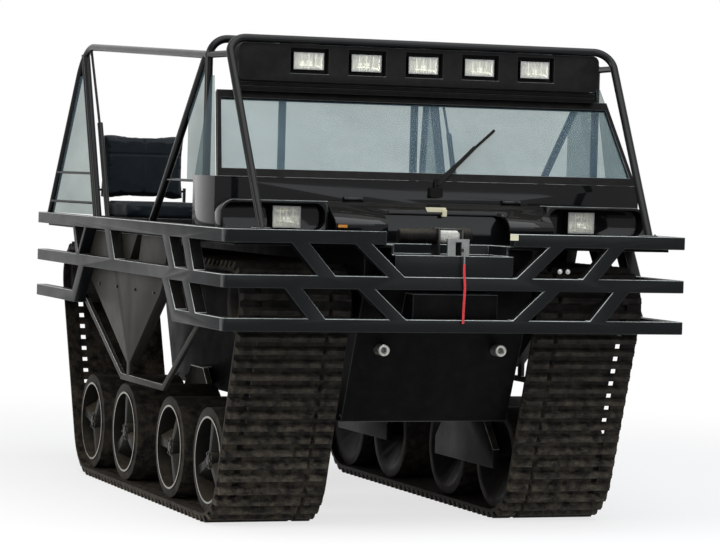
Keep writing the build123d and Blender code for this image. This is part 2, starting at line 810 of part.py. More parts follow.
# Nose across the front of the cowl, with an open lamp pocket in each wing
nose_face = 300.0
nose_centre_face = 316.0
nose_corner = 65.0
pocket_wall = 14.0
pocket_depth = 85.0
nose_top = deck_top + hood_height
nose_back = cowl_station - joint_play
nose = front_box(-cowl_half, cowl_half, nose_face, nose_back, deck_top - nose_corner, nose_top, nose_corner)
hood_room = hood_half + lid_gap
lid_under = hood_skin + lid_gap
lid_cut = [(nose_face - 1, nose_top - 70), (nose_centre_face, nose_top - 46), (nose_centre_face + 40, nose_top - lid_under - 8),
           (hood_pin_station - hinge_eye, nose_top - 35), (nose_back + 1, nose_top - 35),
           (nose_back + 1, nose_top + 1), (nose_face - 1, nose_top + 1)]
nose = nose - side_shape(lid_cut, -hood_room, hood_room)
nose = nose - block(-hood_room, hood_room, nose_face - 1, nose_centre_face, deck_top - 1, nose_top)
nose = nose - block(-half, half, 0, well_start, deck_top - 2 * nose_corner, deck_top)
for side in (-1, 1):
    inner, outer = sorted((side * (hood_room + pocket_wall), side * (cowl_half - pocket_wall)))
    nose = nose - front_box(inner, outer, nose_face - 1, nose_face + pocket_depth, deck_top + 50,
                            nose_top - pocket_wall, nose_corner - pocket_wall)
write("nose", nose)

headlamp_x = 743.0
headlamp_width = 136.0
headlamp_height = 100.0
headlamp_foot = deck_top + 62
headlamps = []
for side in (-1, 1):
    x = side * headlamp_x
    headlamps.append(block(x - headlamp_width / 2, x + headlamp_width / 2, nose_face + 20, nose_face + pocket_depth,
                           headlamp_foot, headlamp_foot + headlamp_height))
write("front_lamps", Compound(children=headlamps))

# Hood lid, cut back round the winch bay, hinged at its rear edge
hood_front = 200.0
lip_drop = 144.0
hood_back = hood_pin_station - 4
bend_back = hood_pin_station - 44
hood_top = nose_top
hood_outline = [(hood_back, hood_top), (bend_back, hood_top - 8), (hood_front + 18, hood_top - 80),
                (hood_front, hood_top - 100), (hood_front, hood_top - lip_drop),
                (hood_front + hood_skin, hood_top - lip_drop), (hood_front + hood_skin, hood_top - 106),
                (hood_front + 26, hood_top - 94), (bend_back + 4, hood_top - 8 - hood_skin),
                (hood_back, hood_top - hood_skin)]
hood = side_shape(hood_outline, -hood_half, hood_half)
bay_plane = Plane(origin=(0, 0, deck_top))
bay_face = Pos((bay_left - bay_right) / 2, station(bay_back / 2 - bay_corner)) * RectangleRounded(
    bay_right + bay_left, bay_back + 2 * bay_corner, bay_corner)
hood = hood - extrude(bay_plane * bay_face, hood_height + 10)
for side in (-1, 1):
    x = side * hinge_x
    hood = hood + cylinder_x(x - hinge_span / 2, x + hinge_span / 2, hood_pin_station, hood_pin_z, hinge_eye)
    hood = hood - cylinder_x(x - hinge_span, x + hinge_span, hood_pin_station, hood_pin_z, hinge_pin + hinge_play)
    for end in (-1, 1):
        near = x + end * (hinge_span / 2 + 0.5)
        low, high = sorted((near, near + end * (hinge_ear + 5)))
        hood = hood - block(low, high, hood_pin_station - hinge_eye - 6, cowl_station, hood_top - 40, hood_pin_z + 20)
write("hood", hood)
marker_x = -515.0
write("marker_lamp", block(marker_x - 25, marker_x + 25, hood_front - 10, hood_front, hood_top - 121, hood_top - 104))

# Winch in its tray, with the bracket, hook shank and strap in front
winch_station = 150.0
winch_z = tray_floor + 85
winch = join([
    cylinder_x(-262, -75, winch_station, winch_z, 36),
    cylinder_x(-75, 45, winch_station, winch_z, 24),
    cylinder_x(45, 105, winch_station, winch_z, 44),
    block(-75, -65, winch_station - 46, winch_station + 46, tray_floor, winch_z + 44),
    block(40, 50, winch_station - 46, winch_station + 46, tray_floor, winch_z + 44),
    block(-65, 40, winch_station - 44, winch_station - 34, winch_z + 30, winch_z + 40),
    block(-65, 40, winch_station + 34, winch_station + 44, winch_z + 30, winch_z + 40),
])
write("winch", winch)
hook_x = 8.0
strap_station = -16.0
strap_radius = 5.5
shank_radius = 4.0
plate_top = tray_floor + 78
hook_foot_z = tray_floor - 36
hook = join([
    block(-67, -28, tray_front, tray_front + 10, tray_floor, plate_top),
    block(2, 40, tray_front, tray_front + 10, tray_floor, plate_top),
    block(-67, 40, tray_front, tray_front + 10, plate_top - 14, plate_top),
    block(hook_x - 6, hook_x + 6, strap_station - 6, tray_front, tray_floor + 20, tray_floor + 34),
    bar(at(hook_x, strap_station, tray_floor + 27), at(hook_x, strap_station, hook_foot_z), shank_radius),
])
write("winch_hook", hook)

strap_points = [(hook_x, strap_station, hook_foot_z), (hook_x, strap_station, hook_foot_z - 48),
                (hook_x + 7, strap_station, hook_foot_z - 98), (hook_x + 5, strap_station + 1, hook_foot_z - 154),
                (hook_x + 2, strap_station, hook_foot_z - 212), (hook_x + 1, strap_station - 1, hook_foot_z - 274)]


def cord_radii(points):
    """Bend radius at each inner point: 0.45 of the shorter run over the tangent of half the turn."""
    radii = []
    for before, corner, after in zip(points, points[1:], points[2:]):
        into = corner - before
        out = after - corner
        turn = math.radians(into.get_angle(out))
        radii.append(0.45 * min(into.length, out.length) / math.tan(turn / 2))
    return radii


strap_route = [at(*point) for point in strap_points]
strap_radii = cord_radii(strap_route)
print("strap radii", [round(radius) for radius in strap_radii])
strap_path = FilletPolyline(*strap_route, radius=strap_radii)
print("strap length", round(strap_path.length))
write("hook_strap", sweep(Plane(origin=strap_path @ 0, z_dir=strap_path % 0) * Circle(strap_radius), path=strap_path))

# Tow eyes on the sloped front of the hull, each a boss with a blind bore
eye_x = 293.0
eye_drop = 278.0
eye_front = 205.0
eye_radius = 27.0
eye_bore = 13.0
eye_depth = 46.0
eye_z = knee_z - eye_drop
eye_face = front_plane(eye_front + eye_depth + 70)
eye_place = Pos(-eye_x, eye_z)
eye_boss = extrude(eye_face * (eye_place * Circle(eye_radius)), eye_depth + 70)
eye_hole = extrude(front_plane(eye_front + eye_depth) * (eye_place * Circle(eye_bore)), eye_depth + 1)
right_eye = eye_boss - side_shape(tub(0, deck_bottom), -hull_half, hull_half) - eye_hole
write("tow_eyes", Compound(children=[right_eye, mirrored(right_eye)]))

# Seats: a plinth, two low front seats with tall posts behind, and a folding pair at the rear
plinth_height = 54.0
soft_play = 0.3
front_seat_x = 357.0
front_seat_half = 225.0
cushion_height = 80.0
seat_start = 1040.0
seat_split = 1480.0
seat_back_end = 1572.0
low_back_height = 210.0
plinth_top = deck_top + plinth_height
plinth_half = front_seat_x + front_seat_half + 38
front_plinth = block(-plinth_half, plinth_half, well_end + 10, seat_back_end + 40, deck_top, plinth_top)
rear_seat_inner = 465.0
rear_seat_outer = 935.0
rear_seat_start = frame_length - 1040
rear_cushion_end = frame_length - 595
rear_plinth_end = frame_length - 480
rear_plinth = block(-rear_seat_outer, -rear_seat_inner, rear_seat_start, rear_plinth_end, deck_top, plinth_top)
fold_pin_radius = 6.0
fold_ear = 8.0
fold_gap = 3.0
fold_pin_reach = 20.0
fold_station = frame_length - 532
fold_z = plinth_top + soft_play + cushion_height + 60
back_thickness = 96.0
back_top_z = deck_top + 504
fold_ends = []
for x, side in ((-rear_seat_outer, -1), (-rear_seat_inner, 1)):
    low, high = sorted((x + side * fold_gap, x + side * (fold_gap + fold_ear)))
    ear = block(low, high, fold_station - 18, fold_station + 18, deck_top, fold_z + 18)
    low, high = sorted((x + side * (fold_gap + fold_ear), x - side * fold_pin_reach))
    fold_ends.append(ear + cylinder_x(low, high, fold_station, fold_z, fold_pin_radius))
rear_stand = rear_plinth
for end in fold_ends:
    rear_stand = rear_stand + end
rear_stand = rear_stand + block(-rear_seat_outer - fold_gap - fold_ear, -rear_seat_inner + fold_gap + fold_ear,
                                fold_station - 18, fold_station + 18, deck_top, plinth_top)
write("seat_bases", Compound(children=[front_plinth, rear_stand, mirrored(rear_stand)]))

pad_bottom = plinth_top + soft_play
front_cushion = block(-front_seat_x - front_seat_half, -front_seat_x + front_seat_half, seat_start, seat_split,
                      pad_bottom, pad_bottom + cushion_height)
front_back = block(-front_seat_x - front_seat_half, -front_seat_x + front_seat_half, seat_split + soft_play,
                   seat_back_end, pad_bottom, pad_bottom + low_back_height)
write_pair("seat_cushion", front_cushion)
write_pair("seat_back", front_back)
rear_cushion = block(-rear_seat_outer, -rear_seat_inner, rear_seat_start, rear_cushion_end,
                     pad_bottom, pad_bottom + cushion_height)
write_pair("rear_cushion", rear_cushion)

rear_back = block(-rear_seat_outer, -rear_seat_inner, fold_station - back_thickness / 2,
                  fold_station + back_thickness / 2, fold_z - 52, back_top_z)
for x, side in ((-rear_seat_outer, 1), (-rear_seat_inner, -1)):
    low, high = sorted((x - side, x + side * (fold_pin_reach + 2)))
    rear_back = rear_back - cylinder_x(low, high, fold_station, fold_z, fold_pin_radius + hinge_play)
fold_axis = Axis((0, station(fold_station), fold_z), (1, 0, 0))
write("rear_back_right", rear_back)
write("rear_back_left", mirrored(rear_back).rotate(fold_axis, 90))

# Tall posts with narrow head pads behind the front seats
post_x = 357.0
post_width = 36.0
post_depth = 20.0
post_station = seat_back_end + 10
head_pad_half = 211.0
head_pad_depth = 46.0
head_pad_height = 46.0
head_pad_z = deck_top + 678
posts = []
pads = []
for side in (-1, 1):
    x = side * post_x
    posts.append(block(x - post_width / 2, x + post_width / 2, post_station, post_station + post_depth,
                       plinth_top, head_pad_z - soft_play))
    pads.append(block(x - head_pad_half, x + head_pad_half, post_station - 13, post_station - 13 + head_pad_depth,
                      head_pad_z, head_pad_z + head_pad_height))
write("seat_posts", Compound(children=posts))
write("head_pads", Compound(children=pads))

# Dashboard and steering wheel, low behind the cowl
dash_half = 900.0
dash_back = 560.0
dash_height = 140.0
write("dashboard", block(-dash_half, dash_half, cowl_station + cowl_wall, dash_back,
                         cowl_top - 2 - dash_height, cowl_top - 2))
steer_x = 330.0
steer_station = 850.0
steer_height = 154.0
steer_tilt = 55.0
steer_radius = 160.0
grip_half = 12.0
spigot_radius = 10.0
column_radius = 22.0
column_length = 1000.0
hub_depth = 36.0
steer_plane = Plane(origin=(steer_x, station(steer_station), deck_top + steer_height), x_dir=(1, 0, 0),
                    z_dir=(0, math.cos(math.radians(steer_tilt)), math.sin(math.radians(steer_tilt))))
grip = Polyline((steer_radius - grip_half, 0), (steer_radius, grip_half), (steer_radius + grip_half, 0),
                (steer_radius, -grip_half), close=True)
ring = revolve(Plane.XZ * make_face(grip), Axis.Z)
steer_hub = Pos(0, 0, -hub_depth / 3) * Cylinder(34, hub_depth)
arms = [Rot(0, 0, angle) * Pos(steer_radius / 2, 0, -4) * Box(steer_radius - 4, 26, 8) for angle in (90, 210, 330)]
spigot_hole = Pos(0, 0, -hub_depth * 5 / 6 + 12) * Cylinder(spigot_radius + joint_play, 28)
write("steering_wheel", steer_plane.location * (join([steer_hub, ring] + arms) - spigot_hole))
column_top = -hub_depth * 5 / 6 - joint_play
column = Pos(0, 0, column_top - column_length / 2) * Cylinder(column_radius, column_length)
spigot = Pos(0, 0, column_top + 9) * Cylinder(spigot_radius, 20)
column_room = side_shape(tub(hull_wall, cage_top), -inner_half, inner_half)
write("steering_column", (steer_plane.location * (column + spigot)) & column_room)

# Wiper: housing on the cowl, arm and blade lying on the glass
wiper_x = 15.0
housing_foot = cowl_top - 78
housing = front_box(wiper_x - 31, wiper_x + 31, cowl_station - 26, cowl_station, housing_foot, housing_foot + 48, 10)
blade_tip = (372.0, 292.0)
blade_root = (wiper_x + 40, 22.0)
arm_root = (wiper_x + 6, -24.0)
arm_tip = (wiper_x + 236, 190.0)


def screen_strip(start, end, width, lift, depth):
    """Flat strip on the screen between two points given across and up the slope."""
    run = math.dist(start, end)
    side = ((end[1] - start[1]) / run * width / 2, (start[0] - end[0]) / run * width / 2)
    face = make_face(Polyline((start[0] - side[0], start[1] - side[1]), (start[0] + side[0], start[1] + side[1]),
                              (end[0] + side[0], end[1] + side[1]), (end[0] - side[0], end[1] - side[1]), close=True))
    return extrude(screen_plane.offset(lift) * face, depth)


glass_face = -screen_depth / 2
blade = screen_strip(blade_root, blade_tip, 12, glass_face + 1, 14)
arm = screen_strip(arm_root, arm_tip, 18, glass_face + 15, 6)
pivot = bar(at(wiper_x, cowl_station - 13, housing_foot + 40),
                        at(wiper_x + 4, cowl_station - 4, cowl_top + 10), 9)
wiper = join([housing, pivot, arm, blade]) - screen_frame - glass - cowl
write("wiper", wiper)

# Quarter panes between the windscreen and the main hoop, leaning in with the screen
pane_rise = 470.0
pane_low_x = -cowl_half + cowl_wall / 2
pane_lean = (screen_half_low - screen_half_high) / screen_rise
pane_foot_z = cowl_top + joint_play
screen_back = screen_depth * math.hypot(screen_rise, screen_run) / screen_rise + 2
pane_corners = [(cowl_station + screen_back, pane_foot_z), (side_wall_end, pane_foot_z),
                (side_wall_end, pane_foot_z + pane_rise),
                (cowl_station + screen_back + screen_run * pane_rise / screen_rise, pane_foot_z + pane_rise)]
quarter = pane_of([(station(y), z) for y, z in pane_corners], Vector(pane_low_x, 0, pane_foot_z),
                  Vector(1, 0, -pane_lean), 0, pane_thickness)
write("quarter_glass", Compound(children=[quarter, mirrored(quarter)]))
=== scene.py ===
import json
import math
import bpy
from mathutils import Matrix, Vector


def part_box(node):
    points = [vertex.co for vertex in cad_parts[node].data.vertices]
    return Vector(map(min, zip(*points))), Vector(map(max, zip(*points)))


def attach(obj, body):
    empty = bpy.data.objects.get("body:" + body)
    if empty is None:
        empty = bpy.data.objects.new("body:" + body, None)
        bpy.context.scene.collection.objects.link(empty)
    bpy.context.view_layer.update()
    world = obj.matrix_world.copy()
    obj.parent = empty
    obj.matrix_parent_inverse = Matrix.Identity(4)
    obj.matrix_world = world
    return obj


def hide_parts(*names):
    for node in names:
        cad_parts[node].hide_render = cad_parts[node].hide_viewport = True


bl_info = {
    "name": "Tracked Carrier Finish",
    "version": (1, 0, 0),
    "blender": (4, 5, 0),
    "location": "View3D > Sidebar > Carrier",
    "description": "Dresses the packed tracked carrier with its rubber, paint, glass, fabric and small parts",
    "category": "Object",
}

import bmesh
import bpy
from bpy.props import FloatProperty, FloatVectorProperty, IntProperty, PointerProperty
from mathutils import Matrix, Vector

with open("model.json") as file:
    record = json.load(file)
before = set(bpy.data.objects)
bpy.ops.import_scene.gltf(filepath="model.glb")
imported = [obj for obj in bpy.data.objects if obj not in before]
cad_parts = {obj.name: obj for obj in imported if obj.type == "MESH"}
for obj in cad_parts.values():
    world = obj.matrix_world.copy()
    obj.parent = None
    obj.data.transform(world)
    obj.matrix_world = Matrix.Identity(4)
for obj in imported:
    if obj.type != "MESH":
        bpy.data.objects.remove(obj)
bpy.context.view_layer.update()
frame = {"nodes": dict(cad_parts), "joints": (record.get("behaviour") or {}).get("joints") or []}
nodes = frame["nodes"]
SIDES = (("right", -1), ("left", 1))


def srgb(red, green, blue):
    """Linear colour of an 8-bit display colour."""
    out = []
    for value in (red, green, blue):
        share = value / 255
        out.append(share / 12.92 if share <= 0.04045 else ((share + 0.055) / 1.055) ** 2.4)
    return (*out, 1.0)


# Settings that a user would change

class CarrierStage(bpy.types.PropertyGroup):
    camera_place: FloatVectorProperty(
        name="Camera place", description="Where the camera stands", default=(-5.1512, -14.5417, 1.6762),
        subtype="TRANSLATION", unit="LENGTH")
    camera_yaw: FloatProperty(
        name="Camera yaw", description="Turn of the view from straight back towards the left side",
        default=math.radians(19.99), subtype="ANGLE", unit="ROTATION")
    camera_pitch: FloatProperty(
        name="Camera pitch", description="Downward tilt of the view", default=math.radians(2.07),
        subtype="ANGLE", unit="ROTATION")
    camera_roll: FloatProperty(
        name="Camera roll", description="Turn about the view direction", default=math.radians(1.55),
        subtype="ANGLE", unit="ROTATION")
    camera_lens: FloatProperty(
        name="Lens", description="Focal length on a 36 mm wide sensor", default=150.0, unit="CAMERA")
    floor_colour: FloatVectorProperty(
        name="Floor", description="Colour of the floor", default=(0.80, 0.80, 0.80), subtype="COLOR",
        min=0.0, max=1.0)
    floor_glow: FloatProperty(
        name="Floor whiteness", description="How far the floor is pulled to white for the camera",
        default=0.72, min=0.0, max=1.0, subtype="FACTOR")


class CarrierPaint(bpy.types.PropertyGroup):
    rail: FloatVectorProperty(
        name="Rails", description="Colour of the guard rails", default=srgb(12, 15, 17)[:3], subtype="COLOR")
    plate: FloatVectorProperty(
        name="Side plates", description="Colour of the pointed side plates", default=srgb(34, 33, 30)[:3],
        subtype="COLOR")
    body: FloatVectorProperty(
        name="Body", description="Colour of hood, nose and cowl", default=srgb(5, 6, 7)[:3], subtype="COLOR")
    seat: FloatVectorProperty(
        name="Seats", description="Colour of the seat covers", default=srgb(9, 17, 23)[:3], subtype="COLOR")
    dust: FloatVectorProperty(
        name="Dust", description="Colour of dust and dried mud", default=srgb(112, 103, 90)[:3], subtype="COLOR")
    # Colour of the edge finish: rubbed wear and a painted highlight on edges that face up
    edge: FloatVectorProperty(
        name="Worn edges", description="Colour of rubbed edges", default=srgb(196, 200, 198)[:3],
        subtype="COLOR")


class CarrierTrack(bpy.types.PropertyGroup):
    belt_thickness: FloatProperty(
        name="Belt", description="Thickness of the belt", default=0.016, unit="LENGTH")
    lug_height: FloatProperty(
        name="Lug height", description="Height of a lug over the belt", default=0.029, unit="LENGTH")
    lug_pitch: FloatProperty(
        name="Lug pitch", description="Distance from lug to lug", default=0.064, unit="LENGTH")
    lug_foot: FloatProperty(
        name="Lug foot", description="Width of a lug at the belt", default=0.038, unit="LENGTH")
    lug_tip: FloatProperty(
        name="Lug tip", description="Width of a lug at its top", default=0.025, unit="LENGTH")
    seam_share: FloatProperty(
        name="Seam", description="Place of the split in a lug, as a share of its length from the inner end",
        default=0.2, min=0.05, max=0.95, subtype="FACTOR")
    hole_start: FloatProperty(
        name="Hole row", description="Distance of the drive holes from the outer edge", default=0.075,
        unit="LENGTH")
    hole_width: FloatProperty(
        name="Hole width", description="Width of a drive hole across the belt", default=0.030, unit="LENGTH")
    hole_length: FloatProperty(
        name="Hole length", description="Length of a drive hole along the belt", default=0.026, unit="LENGTH")


class CarrierSeats(bpy.types.PropertyGroup):
    voxel: FloatProperty(
        name="Mesh size", description="Spacing of the cloth mesh", default=0.006, unit="LENGTH")
    pressure: FloatProperty(
        name="Pressure", description="Inner pressure of the cloth", default=4.0)
    frames: IntProperty(
        name="Frames", description="Frames that the cloth runs for", default=20, min=1)
    shrink: FloatProperty(
        name="Start inset", description="How much smaller a pad starts on each side", default=0.009,
        unit="LENGTH")
    swell: FloatProperty(
        name="Largest swell", description="Furthest that a point may move", default=0.016, unit="LENGTH")


def setting(group, name):
    return getattr(getattr(bpy.context.scene, group), name)


def colour_of(name):
    return (*setting("carrier_paint", name), 1.0)


# Material building blocks

def node_setup(name):
    """New material with its node tree and Principled shader."""
    material = bpy.data.materials.new(name)
    material.use_nodes = True
    tree = material.node_tree
    return material, tree, tree.nodes["Principled BSDF"]


def add_node(tree, kind, **values):
    node = tree.nodes.new(kind)
    for key, value in values.items():
        setattr(node, key, value)
    return node


def noise(tree, scale, detail=4.0, roughness=0.55, stretch=(1.0, 1.0, 1.0)):
    """Noise on Object coordinates, stretched along an axis where asked."""
    coordinates = add_node(tree, "ShaderNodeTexCoord")
    mapping = add_node(tree, "ShaderNodeMapping")
    mapping.inputs["Scale"].default_value = stretch
    texture = add_node(tree, "ShaderNodeTexNoise")
    texture.inputs["Scale"].default_value = scale
    texture.inputs["Detail"].default_value = detail
    texture.inputs["Roughness"].default_value = roughness
    tree.links.new(coordinates.outputs["Object"], mapping.inputs["Vector"])
    tree.links.new(mapping.outputs["Vector"], texture.inputs["Vector"])
    return texture.outputs["Fac"]


def ramp(tree, source, stops):
    """Colour ramp over a value, from (position, colour) stops."""
    node = add_node(tree, "ShaderNodeValToRGB")
    elements = node.color_ramp.elements
    while len(elements) < len(stops):
        elements.new(0.5)
    for element, (position, colour) in zip(elements, stops):
        element.position = position
        element.color = colour if len(colour) == 4 else (*colour, 1.0)
    tree.links.new(source, node.inputs["Fac"])
    return node.outputs["Color"]


def grey(value):
    return (value, value, value, 1.0)


def shade(colour, factor):
    return (*(min(1.0, channel * factor) for channel in colour[:3]), 1.0)


def feed(tree, socket, value):
    """Sets a socket to a fixed value or links it to another socket."""
    if isinstance(value, bpy.types.NodeSocket):
        tree.links.new(value, socket)
    else:
        socket.default_value = value


def mix_colour(tree, factor, first, second):
    """Mix of two colours, each a socket or a fixed colour."""
    node = add_node(tree, "ShaderNodeMix", data_type="RGBA")
    feed(tree, node.inputs[0], factor)
    feed(tree, node.inputs[6], first)
    feed(tree, node.inputs[7], second)
    return node.outputs[2]


def maths(tree, operation, first, second):
    node = add_node(tree, "ShaderNodeMath", operation=operation)
    feed(tree, node.inputs[0], first)
    feed(tree, node.inputs[1], second)
    return node.outputs[0]


def bump(tree, height, strength, distance, under=None):
    node = add_node(tree, "ShaderNodeBump")
    node.inputs["Strength"].default_value = strength
    node.inputs["Distance"].default_value = distance
    tree.links.new(height, node.inputs["Height"])
    if under is not None:
        tree.links.new(under, node.inputs["Normal"])
    return node.outputs["Normal"]


def up_facing(tree):
    """One on surfaces that face up and zero on walls."""
    geometry = add_node(tree, "ShaderNodeNewGeometry")
    split = add_node(tree, "ShaderNodeSeparateXYZ")
    tree.links.new(geometry.outputs["Normal"], split.inputs["Vector"])
    return split.outputs["Z"]


def height_fade(tree, low, high):
    """One below a height and zero above another, in metres."""
    coordinates = add_node(tree, "ShaderNodeTexCoord")
    split = add_node(tree, "ShaderNodeSeparateXYZ")
    tree.links.new(coordinates.outputs["Object"], split.inputs["Vector"])
    span = add_node(tree, "ShaderNodeMapRange")
    span.inputs["From Min"].default_value = low
    span.inputs["From Max"].default_value = high
    span.inputs["To Min"].default_value = 1.0
    span.inputs["To Max"].default_value = 0.0
    tree.links.new(split.outputs["Z"], span.inputs["Value"])
    return span.outputs["Result"]


MADE = {}


def once(maker):
    """Keeps one material for each maker and set of values."""
    def get(*values):
        key = (maker.__name__, values)
        if key not in MADE:
            MADE[key] = maker(*values)
        return MADE[key]
    return get


@once
def paint(name, colour, coat, coat_roughness, dust_reach):
    """Sprayed paint: colour drift, thin clear coat, orange peel and dust that gathers on top faces."""
    material, tree, shader = node_setup(name)
    base = mix_colour(tree, noise(tree, 2.3, 5.0), shade(colour, 0.75), shade(colour, 1.25))
    film = noise(tree, 14.0, 8.0, 0.65)
    top = maths(tree, "MULTIPLY", maths(tree, "MAXIMUM", up_facing(tree), 0.22), film)
    cover = ramp(tree, top, [(0.10, grey(0.0)), (0.70, grey(dust_reach))])
    base = mix_colour(tree, cover, base, colour_of("dust"))
    tree.links.new(base, shader.inputs["Base Color"])
    tree.links.new(ramp(tree, noise(tree, 6.0, 6.0), [(0.3, grey(0.45)), (0.75, grey(0.7))]),
                   shader.inputs["Roughness"])
    shader.inputs["Specular IOR Level"].default_value = 0.04
    shader.inputs["Coat Weight"].default_value = coat
    shader.inputs["Coat IOR"].default_value = 1.25
    shader.inputs["Coat Roughness"].default_value = coat_roughness
    tree.links.new(bump(tree, noise(tree, 420.0, 2.0), 0.10, 0.0006), shader.inputs["Normal"])
    return material


@once
def rubbed_highlit_edge(name, colour, reach):
    """Edge of painted steel: rubbed wear in patches, with a painted highlight where it faces up and dark elsewhere."""
    material, tree, shader = node_setup(name)
    patches = ramp(tree, noise(tree, 26.0, 7.0, 0.7), [(0.3, grey(0.55)), (0.62, grey(1.0))])
    # painted highlight: the pale edge colour is kept to edges that face up, where the light from above falls
    highlit_top = ramp(tree, up_facing(tree), [(0.2, grey(0.03)), (0.6, grey(reach))])
    base = mix_colour(tree, maths(tree, "MULTIPLY", patches, highlit_top), colour, colour_of("edge"))
    tree.links.new(base, shader.inputs["Base Color"])
    shader.inputs["Roughness"].default_value = 0.4
    shader.inputs["Specular IOR Level"].default_value = 0.1
    tree.links.new(bump(tree, noise(tree, 300.0, 3.0), 0.15, 0.0006), shader.inputs["Normal"])
    return material


@once
def moulded(name, colour, roughness, grain):
    """Moulded plastic with a fine leather grain."""
    material, tree, shader = node_setup(name)
    base = mix_colour(tree, noise(tree, 3.1, 5.0), shade(colour, 0.8), shade(colour, 1.25))
    film = ramp(tree, noise(tree, 17.0, 8.0, 0.65), [(0.35, grey(0.0)), (0.8, grey(0.05))])
    tree.links.new(mix_colour(tree, film, base, colour_of("dust")), shader.inputs["Base Color"])
    shader.inputs["Roughness"].default_value = roughness
    shader.inputs["Specular IOR Level"].default_value = 0.1
    cells = add_node(tree, "ShaderNodeTexVoronoi")
    cells.inputs["Scale"].default_value = grain
    coordinates = add_node(tree, "ShaderNodeTexCoord")
    tree.links.new(coordinates.outputs["Object"], cells.inputs["Vector"])
    tree.links.new(bump(tree, cells.outputs["Distance"], 0.22, 0.0008), shader.inputs["Normal"])
    return material


@once
def metal(name, colour, roughness, grime):
    """Worn bare metal with grime in patches and fine brushing."""
    material, tree, shader = node_setup(name)
    patches = ramp(tree, noise(tree, 38.0, 8.0, 0.7), [(0.42, grey(0.0)), (0.72, grey(grime))])
    base = mix_colour(tree, patches, colour, shade(colour_of("dust"), 0.45))
    tree.links.new(base, shader.inputs["Base Color"])
    tree.links.new(ramp(tree, patches, [(0.0, grey(0.95)), (1.0, grey(0.2))]), shader.inputs["Metallic"])
    tree.links.new(ramp(tree, noise(tree, 60.0, 5.0), [(0.3, grey(roughness * 0.8)), (0.8, grey(roughness * 1.4))]),
                   shader.inputs["Roughness"])
    tree.links.new(bump(tree, noise(tree, 220.0, 3.0, 0.6, (1.0, 6.0, 1.0)), 0.12, 0.0006),
                   shader.inputs["Normal"])
    return material


@once
def rubber(name, colour, mud_reach, mud_low, mud_high):
    """Moulded rubber with dried mud, more of it low down."""
    material, tree, shader = node_setup(name)
    base = mix_colour(tree, noise(tree, 5.0, 6.0), shade(colour, 0.7), shade(colour, 1.35))
    clods = ramp(tree, noise(tree, 22.0, 9.0, 0.68), [(0.40, grey(0.0)), (0.66, grey(mud_reach))])
    reach = maths(tree, "MAXIMUM", height_fade(tree, mud_low, mud_high), 0.35)
    cover = maths(tree, "MULTIPLY", clods, reach)
    mud = mix_colour(tree, noise(tree, 70.0, 6.0), shade(colour_of("dust"), 0.38), shade(colour_of("dust"), 0.95))
    tree.links.new(mix_colour(tree, cover, base, mud), shader.inputs["Base Color"])
    tree.links.new(ramp(tree, clods, [(0.0, grey(0.62)), (1.0, grey(0.92))]), shader.inputs["Roughness"])
    shader.inputs["Specular IOR Level"].default_value = 0.12
    fine = bump(tree, noise(tree, 260.0, 4.0), 0.2, 0.0008)
    tree.links.new(bump(tree, clods, 0.35, 0.0015, fine), shader.inputs["Normal"])
    return material


@once
def pane(name, tint, film_and_sky_share):
    """Clear pane with a thin film, partly dust and partly a painted sky reflection, and painted cloud reflection in its
    tint.
    """
    material, tree, shader = node_setup(name)
    output = tree.nodes["Material Output"]
    # painted reflection: noise clouds that vary the see-through tint of the pane
    cloud_reflection = noise(tree, 1.7, 4.0, 0.5, (1.0, 1.0, 1.6))
    clear = add_node(tree, "ShaderNodeBsdfTransparent")
    tree.links.new(ramp(tree, cloud_reflection, [(0.3, shade(tint, 0.90)), (0.7, shade(tint, 1.08))]), clear.inputs["Color"])
    # pale blue-grey film colour: dust and a painted reflection of the sky
    tree.links.new(mix_colour(tree, noise(tree, 30.0, 7.0), srgb(142, 172, 190), srgb(158, 188, 206)),
                   shader.inputs["Base Color"])
    shader.inputs["Roughness"].default_value = 0.06
    shader.inputs["Specular IOR Level"].default_value = 0.3
    film = ramp(tree, noise(tree, 9.0, 7.0, 0.6), [(0.3, grey(film_and_sky_share * 0.85)), (0.75, grey(film_and_sky_share * 1.2))])
    mix = add_node(tree, "ShaderNodeMixShader")
    tree.links.new(film, mix.inputs[0])
    tree.links.new(clear.outputs[0], mix.inputs[1])
    tree.links.new(shader.outputs[0], mix.inputs[2])
    tree.links.new(mix.outputs[0], output.inputs["Surface"])
    return material


@once
def lens(name, colour, clear_share):
    """Lamp cover: clear or coloured plastic that lets the reflector show."""
    material, tree, shader = node_setup(name)
    output = tree.nodes["Material Output"]
    tree.links.new(ramp(tree, noise(tree, 45.0, 5.0), [(0.3, shade(colour, 0.82)), (0.7, colour)]),
                   shader.inputs["Base Color"])
    shader.inputs["Roughness"].default_value = 0.12
    shader.inputs["Specular IOR Level"].default_value = 0.7
    clear = add_node(tree, "ShaderNodeBsdfTransparent")
    clear.inputs["Color"].default_value = colour
    mix = add_node(tree, "ShaderNodeMixShader")
    mix.inputs[0].default_value = clear_share
    tree.links.new(shader.outputs[0], mix.inputs[1])
    tree.links.new(clear.outputs[0], mix.inputs[2])
    tree.links.new(mix.outputs[0], output.inputs["Surface"])
    return material


